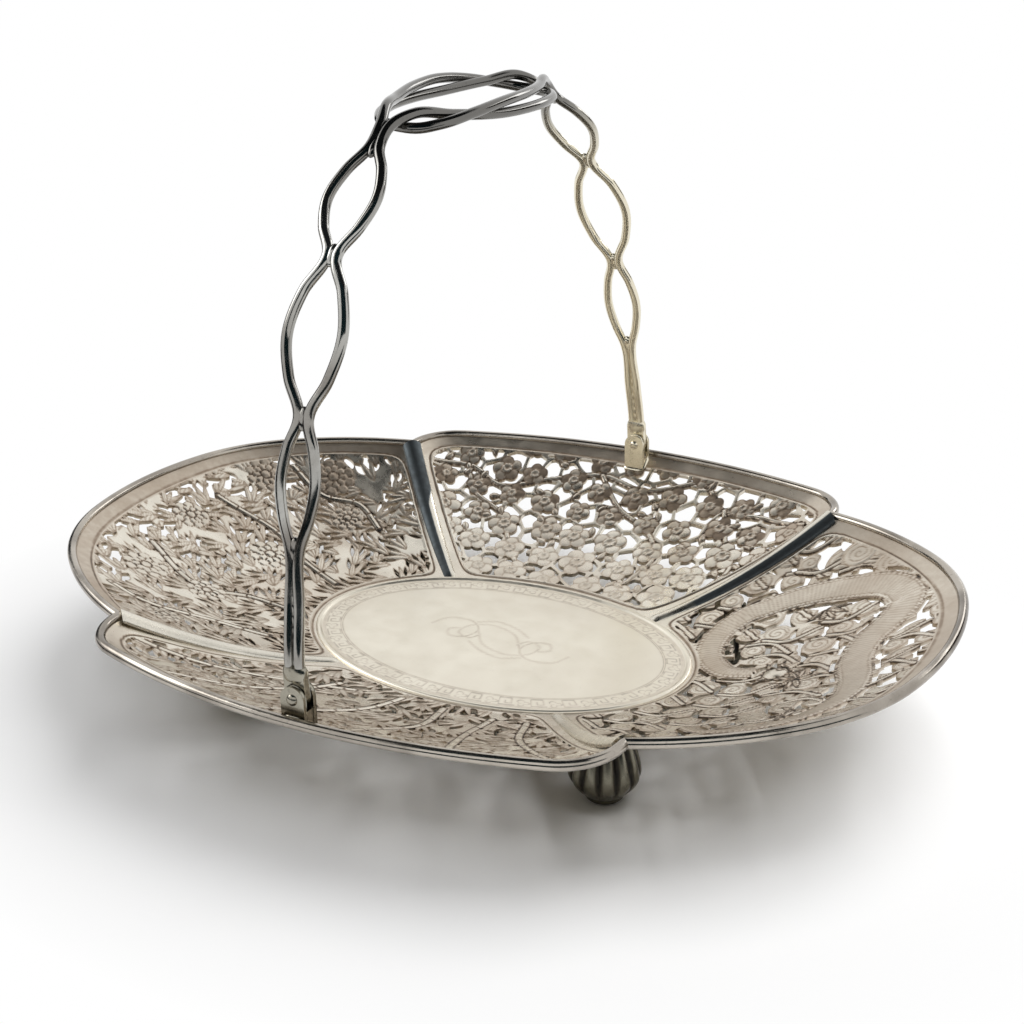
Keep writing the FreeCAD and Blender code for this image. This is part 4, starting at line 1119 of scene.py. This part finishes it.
def pin_piece(side_name, side):
    """Rivet through both ears, with low domed heads."""
    half = EAR_GAP / 2 + EAR
    profile = [(half + 0.9, 0.25), (half + 0.85, 0.7), (half + 0.62, 1.15), (half + 0.3, 1.48),
               (half, PIN_HEAD / 2), (half - 0.02, PIN / 2)]
    profile = [(-y, r) for y, r in profile] + profile[::-1]
    rivet = rings([level_ring(full_turn(28), 0, radius, y)[:, [0, 2, 1]] for y, radius in profile])
    name = "hinge_pin_" + side_name
    mesh_piece(name + "_rivet", moved(flipped(rivet), hinge_place(side)), HINGE, 35, node_name=name)


def leaned(shape):
    """The upright handle's shape, tipped about the hinge axis to where it rests."""
    points, faces = shape
    rise = points[:, 2] - HINGE_HEIGHT
    x = points[:, 0] * math.cos(LEAN) - rise * math.sin(LEAN)
    z = points[:, 0] * math.sin(LEAN) + rise * math.cos(LEAN)
    return np.stack([x, points[:, 1], HINGE_HEIGHT + z], 1), faces


def tongue_piece(side_name, side):
    """Flat eye on the pin that spreads into a collar round the feet of the two wires."""
    outline = eye_outline(TONGUE_WIDTH / 2, TONGUE_LENGTH, -1)
    oval = soft_box(COLLAR, 0.8, 36)
    collar = rings([np.column_stack([oval * grow, np.full(len(oval), height)])
                    for height, grow in ((4.4, 0.86), (5.2, 1.0), (6.6, 1.05), (7.6, 1.0), (8.3, 0.9))])
    shape = join([plate(outline, -TONGUE / 2, TONGUE / 2, 0.25), collar])
    name = "hinge_tongue_" + side_name
    mesh_piece(name + "_eye", leaned(moved(shape, hinge_place(side))), HINGE, 35, node_name=name, body="handle")


# Handle

def tangents(points):
    """Directions of a smooth curve through the points, by the lengths on each side."""
    steps = np.diff(points, axis=0)
    squares = (steps ** 2).sum(1, keepdims=True)
    ways = np.concatenate([steps[:1], steps[:-1] / squares[:-1] + steps[1:] / squares[1:], steps[-1:]])
    return ways / np.linalg.norm(ways, axis=1, keepdims=True)


def on_curve(points, ways, share):
    index = min(int(share), len(points) - 2)
    first, last = points[index:index + 2]
    leaving, arriving = ways[index:index + 2] * math.dist(first, last)
    return cubic(first, last, leaving, arriving, share - index)


ARM_SPINE = np.array([(0, across * HINGE_REACH, HINGE_HEIGHT + up * HANDLE_RISE) for across, up in (
    (1.0, TONGUE_LENGTH / HANDLE_RISE), *ARM_JOINT_SHARES, ARM_TOP_SHARES)])


def on_arm(share):
    """A place midway between the two strands of an arm, from 0 at its tongue to 5 at the level top."""
    return on_curve(ARM_SPINE, tangents(ARM_SPINE), share)


def loop_point(shares, side, own_side):
    """A place on a loop, whose round end passes under the other arm and which crosses the other loop."""
    aside, onward = shares
    x = KISS + aside * (HALF_LOOP_WIDTH - KISS) if aside else 0
    end_lift = LOOP_END_RISE if onward > 0 else LOOP_END_DROP
    weave = side * own_side * WEAVE * x / HALF_LOOP_WIDTH * (1 - onward ** 2)
    lift = end_lift * onward * abs(onward) + weave - side * x * math.sin(LOOP_TILT)
    aside = side * x * math.cos(LOOP_TILT)
    return np.array([aside, onward * HALF_LOOP_LENGTH, HINGE_HEIGHT + HANDLE_RISE + lift])


def strand(side, own_side):
    """Points of one strand from its tongue to the round end of its loop, with Y towards its own arm."""
    stops = [(0.0, 0.0), (0.5, 0.0)]
    for index, width in enumerate(LENS_WIDTHS, 1):
        stops.append((index, 0.0))
        stops += [(index + share, opening * (width / 2 - KISS)) for share, opening in LENS_SHARES]
    stops += [(4.0, 0.0), (4.6, 0.0)]
    points = [on_arm(share) + (side * (KISS + aside), 0, 0) for share, aside in stops]
    return points + [loop_point(shares, side, own_side) for shares in LOOP_SHARES]


def solder_beads(mirror):
    """Small saddles of solder where the two strands of an arm touch."""
    parts = []
    for share, length, thick in ((1, 3.4, 1.25), (2, 3.2, 1.2), (3, 3.2, 1.2), (4, 3.6, 1.2), (4.6, 2.4, 1.0)):
        onward = unit(on_arm(min(share + 0.05, 4.99)) - on_arm(share - 0.05))
        axes = np.array([(1.7, 0, 0), np.cross(onward, (1, 0, 0)) * thick, onward * length]) * mirror
        parts.append(ellipsoid(on_arm(share) * mirror, axes))
    for share in np.arange(0.05, 1.0, 0.09):
        parts.append(ellipsoid(on_arm(share) * mirror, np.diag([1.0, 0.75, 2.6]), 12, 8))
    return parts


def handle_piece(side_name, own_side):
    """One long wire: up its arm, round its loop and down the same arm again, with its solder."""
    mirror = np.array([1, own_side, 1])
    points = np.array(strand(1, own_side) + strand(-1, own_side)[-2::-1]) * mirror
    ways = tangents(points)
    ways[[0, -1]] = (0, 0, 1), (0, 0, -1)
    path = []
    for index in range(len(points) - 1):
        count = max(int(math.dist(points[index], points[index + 1]) / 1.1), 2)
        path += [on_curve(points, ways, index + part / count) for part in range(count)]
    path.append(points[-1])
    shape = join([tube(path, WIRE / 2, 22, round_ends=False)] + solder_beads(mirror))
    name = "handle_wire_" + side_name
    mesh_piece(name + "_polished", leaned(shape), HANDLE, 60, node_name=name, body="handle")


# Stage, light and camera, in metres

def backdrop_rays(tree):
    """1 for rays that see the background: from the camera, off metal or through glass."""
    rays = node(tree, "ShaderNodeLightPath").outputs
    seen = rays["Is Camera Ray"]
    for name in ("Is Glossy Ray", "Is Transmission Ray"):
        seen = node(tree, "ShaderNodeMath", {0: seen, 1: rays[name]}, operation="MAXIMUM").outputs[0]
    return seen


def dim(name, colour):
    """Card that reflects as one dark tone."""
    material, tree = new_material(name)
    tree.nodes.remove(tree.nodes["Principled BSDF"])
    tone = node(tree, "ShaderNodeEmission", {"Color": colour, "Strength": 1.0})
    tree.links.new(tone.outputs[0], tree.nodes["Material Output"].inputs["Surface"])
    return material


def floor_material():
    """Pale matt paper that turns plain white away from the object, where only the background shows."""
    material, tree = new_material("floor_paper")
    shader = tree.nodes["Principled BSDF"]
    shader.inputs["Base Color"].default_value = PAPER + (1,)
    shader.inputs["Roughness"].default_value = 0.9
    shader.inputs["Specular IOR Level"].default_value = 0.0
    place = node(tree, "ShaderNodeTexCoord").outputs["Object"]
    shrink = (1 / (HALF_LENGTH * MM), 1 / (HALF_WIDTH * MM), 0)
    scaled = node(tree, "ShaderNodeVectorMath", {0: place, 1: shrink}, operation="MULTIPLY").outputs[0]
    reach = node(tree, "ShaderNodeVectorMath", {0: scaled}, operation="LENGTH").outputs["Value"]
    white = {0: ranged(tree, reach, WHITE_START, WHITE_END), 1: backdrop_rays(tree)}
    share = node(tree, "ShaderNodeMath", white, operation="MULTIPLY").outputs[0]
    plain = node(tree, "ShaderNodeEmission").outputs[0]
    blend = node(tree, "ShaderNodeMixShader", {0: share, 1: shader.outputs[0], 2: plain})
    tree.links.new(blend.outputs[0], tree.nodes["Material Output"].inputs["Surface"])
    return material


def aimed(name, data, center, target, axis):
    """Object at one place, with an axis towards another."""
    made = add_object(name, data)
    made.location = center
    made.rotation_mode = "QUATERNION"
    made.rotation_quaternion = (Vector(target) - Vector(center)).to_track_quat(axis, "Y")
    return made


def card(name, width, height, center, target, material):
    """Flat stage card that faces a point."""
    mesh = bpy.data.meshes.new(name)
    corners = [(width * x, height * y, 0) for x, y in ((-0.5, -0.5), (0.5, -0.5), (0.5, 0.5), (-0.5, 0.5))]
    mesh.from_pydata(corners, [], [(0, 1, 2, 3)])
    mesh.materials.append(material)
    made = aimed(name, mesh, center, target, "Z")
    return made


def dark_card(name, width, height, center, target, colour):
    """Card that shows only in reflections."""
    made = card("dark_card_" + name, width, height, center, target, dim("dark_" + name, colour))
    made.visible_camera = False
    made.visible_diffuse = False
    made.visible_shadow = False


def softbox(name, size, power, center, target, reflected=True):
    light = bpy.data.lights.new(name, "AREA")
    light.shape = "RECTANGLE"
    light.size, light.size_y = size
    light.energy = power
    made = aimed(name, light, center, target, "-Z")
    made.visible_glossy = reflected
    made.visible_diffuse = not reflected


def world():
    """White seen by the camera and by reflections, pale grey light otherwise."""
    made = bpy.data.worlds.new("studio")
    bpy.context.scene.world = made
    made.use_nodes = True
    tree = made.node_tree
    tree.nodes.clear()
    room = node(tree, "ShaderNodeBackground", {"Color": ROOM, "Strength": ROOM_LIGHT}).outputs[0]
    white = node(tree, "ShaderNodeBackground", {"Color": (1, 1, 1), "Strength": 1.0}).outputs[0]
    blend = node(tree, "ShaderNodeMixShader", {0: backdrop_rays(tree), 1: room, 2: white})
    node(tree, "ShaderNodeOutputWorld", {0: blend.outputs[0]})


def camera():
    """Camera at the photograph's viewing angle."""
    data = bpy.data.cameras.new("camera")
    data.lens = CAMERA_LENS
    data.sensor_width = 36.0
    data.clip_start = 0.01
    data.clip_end = 20
    tilt = Matrix.Rotation(math.pi / 2 - CAMERA_ELEVATION, 3, "X") @ Matrix.Rotation(CAMERA_ROLL, 3, "Z")
    made = add_object("camera", data)
    made.rotation_mode = "QUATERNION"
    made.rotation_quaternion = (Matrix.Rotation(CAMERA_AZIMUTH, 3, "Z") @ tilt).to_quaternion()
    made.location = CAMERA_PLACE
    bpy.context.scene.camera = made


for work in (bamboo_grove(), plum_branches(), chrysanthemums(), dragon_in_clouds()):
    lobe_piece(work)
for lobe in LOBES.values():
    rim_piece(lobe)
    if lobe.long:
        seam_piece(lobe, "start")
        seam_piece(lobe, "end")
panel_piece()
dish = dish_points()
for across_name in FOOT_PLACES:
    for along_name in FOOT_REACH:
        foot_piece(across_name, along_name, dish)
for side_name, side in (("front", -1), ("back", 1)):
    bracket_piece(side_name, side)
    pin_piece(side_name, side)
    tongue_piece(side_name, side)
    handle_piece(side_name, side)

card("floor", 6, 6, (0, 0, -0.0005), (0, 0, 1), floor_material())
dark_card("above", 1.0, 0.75, (-0.25, 0.02, 0.95), (-0.25, 0.02, 0), (0.09, 0.09, 0.085))
dark_card("front", 1.0, 0.15, (0.20, -0.30, 0.06), (0, 0, 0.06), (0.012, 0.025, 0.030))
dark_card("crown", 0.34, 0.16, (0.08, -0.15, 0.29), (0, 0, 0.18), (0.012, 0.025, 0.030))
dark_card("back", 0.45, 0.26, (0.50, 0.78, 0.33), (0, 0, 0.15), (0.04, 0.035, 0.03))
dark_card("loops", 0.42, 0.32, (0, 0, 0.40), (0, 0, 0), (0.02, 0.022, 0.024))
dark_card("low", 1.1, 0.16, (-0.60, -0.38, 0.08), (0, 0, 0.08), (0.02, 0.022, 0.022))
dark_card("left", 0.35, 0.4, (-0.75, 0.28, 0.16), (0, 0, 0.1), (0.03, 0.035, 0.04))
softbox("top_light", (0.9, 0.8), 14.8, (0.40, 0.27, 1.0), (0, 0, 0), reflected=False)
softbox("key_light", (0.5, 0.35), 1.6, (-0.70, -0.15, 0.55), (0, 0, 0.05))
softbox("back_light", (0.6, 0.2), 1.2, (0.35, 0.85, 0.45), (0, 0, 0.05))
world()
camera()
bpy.context.scene.view_settings.view_transform = "Standard"
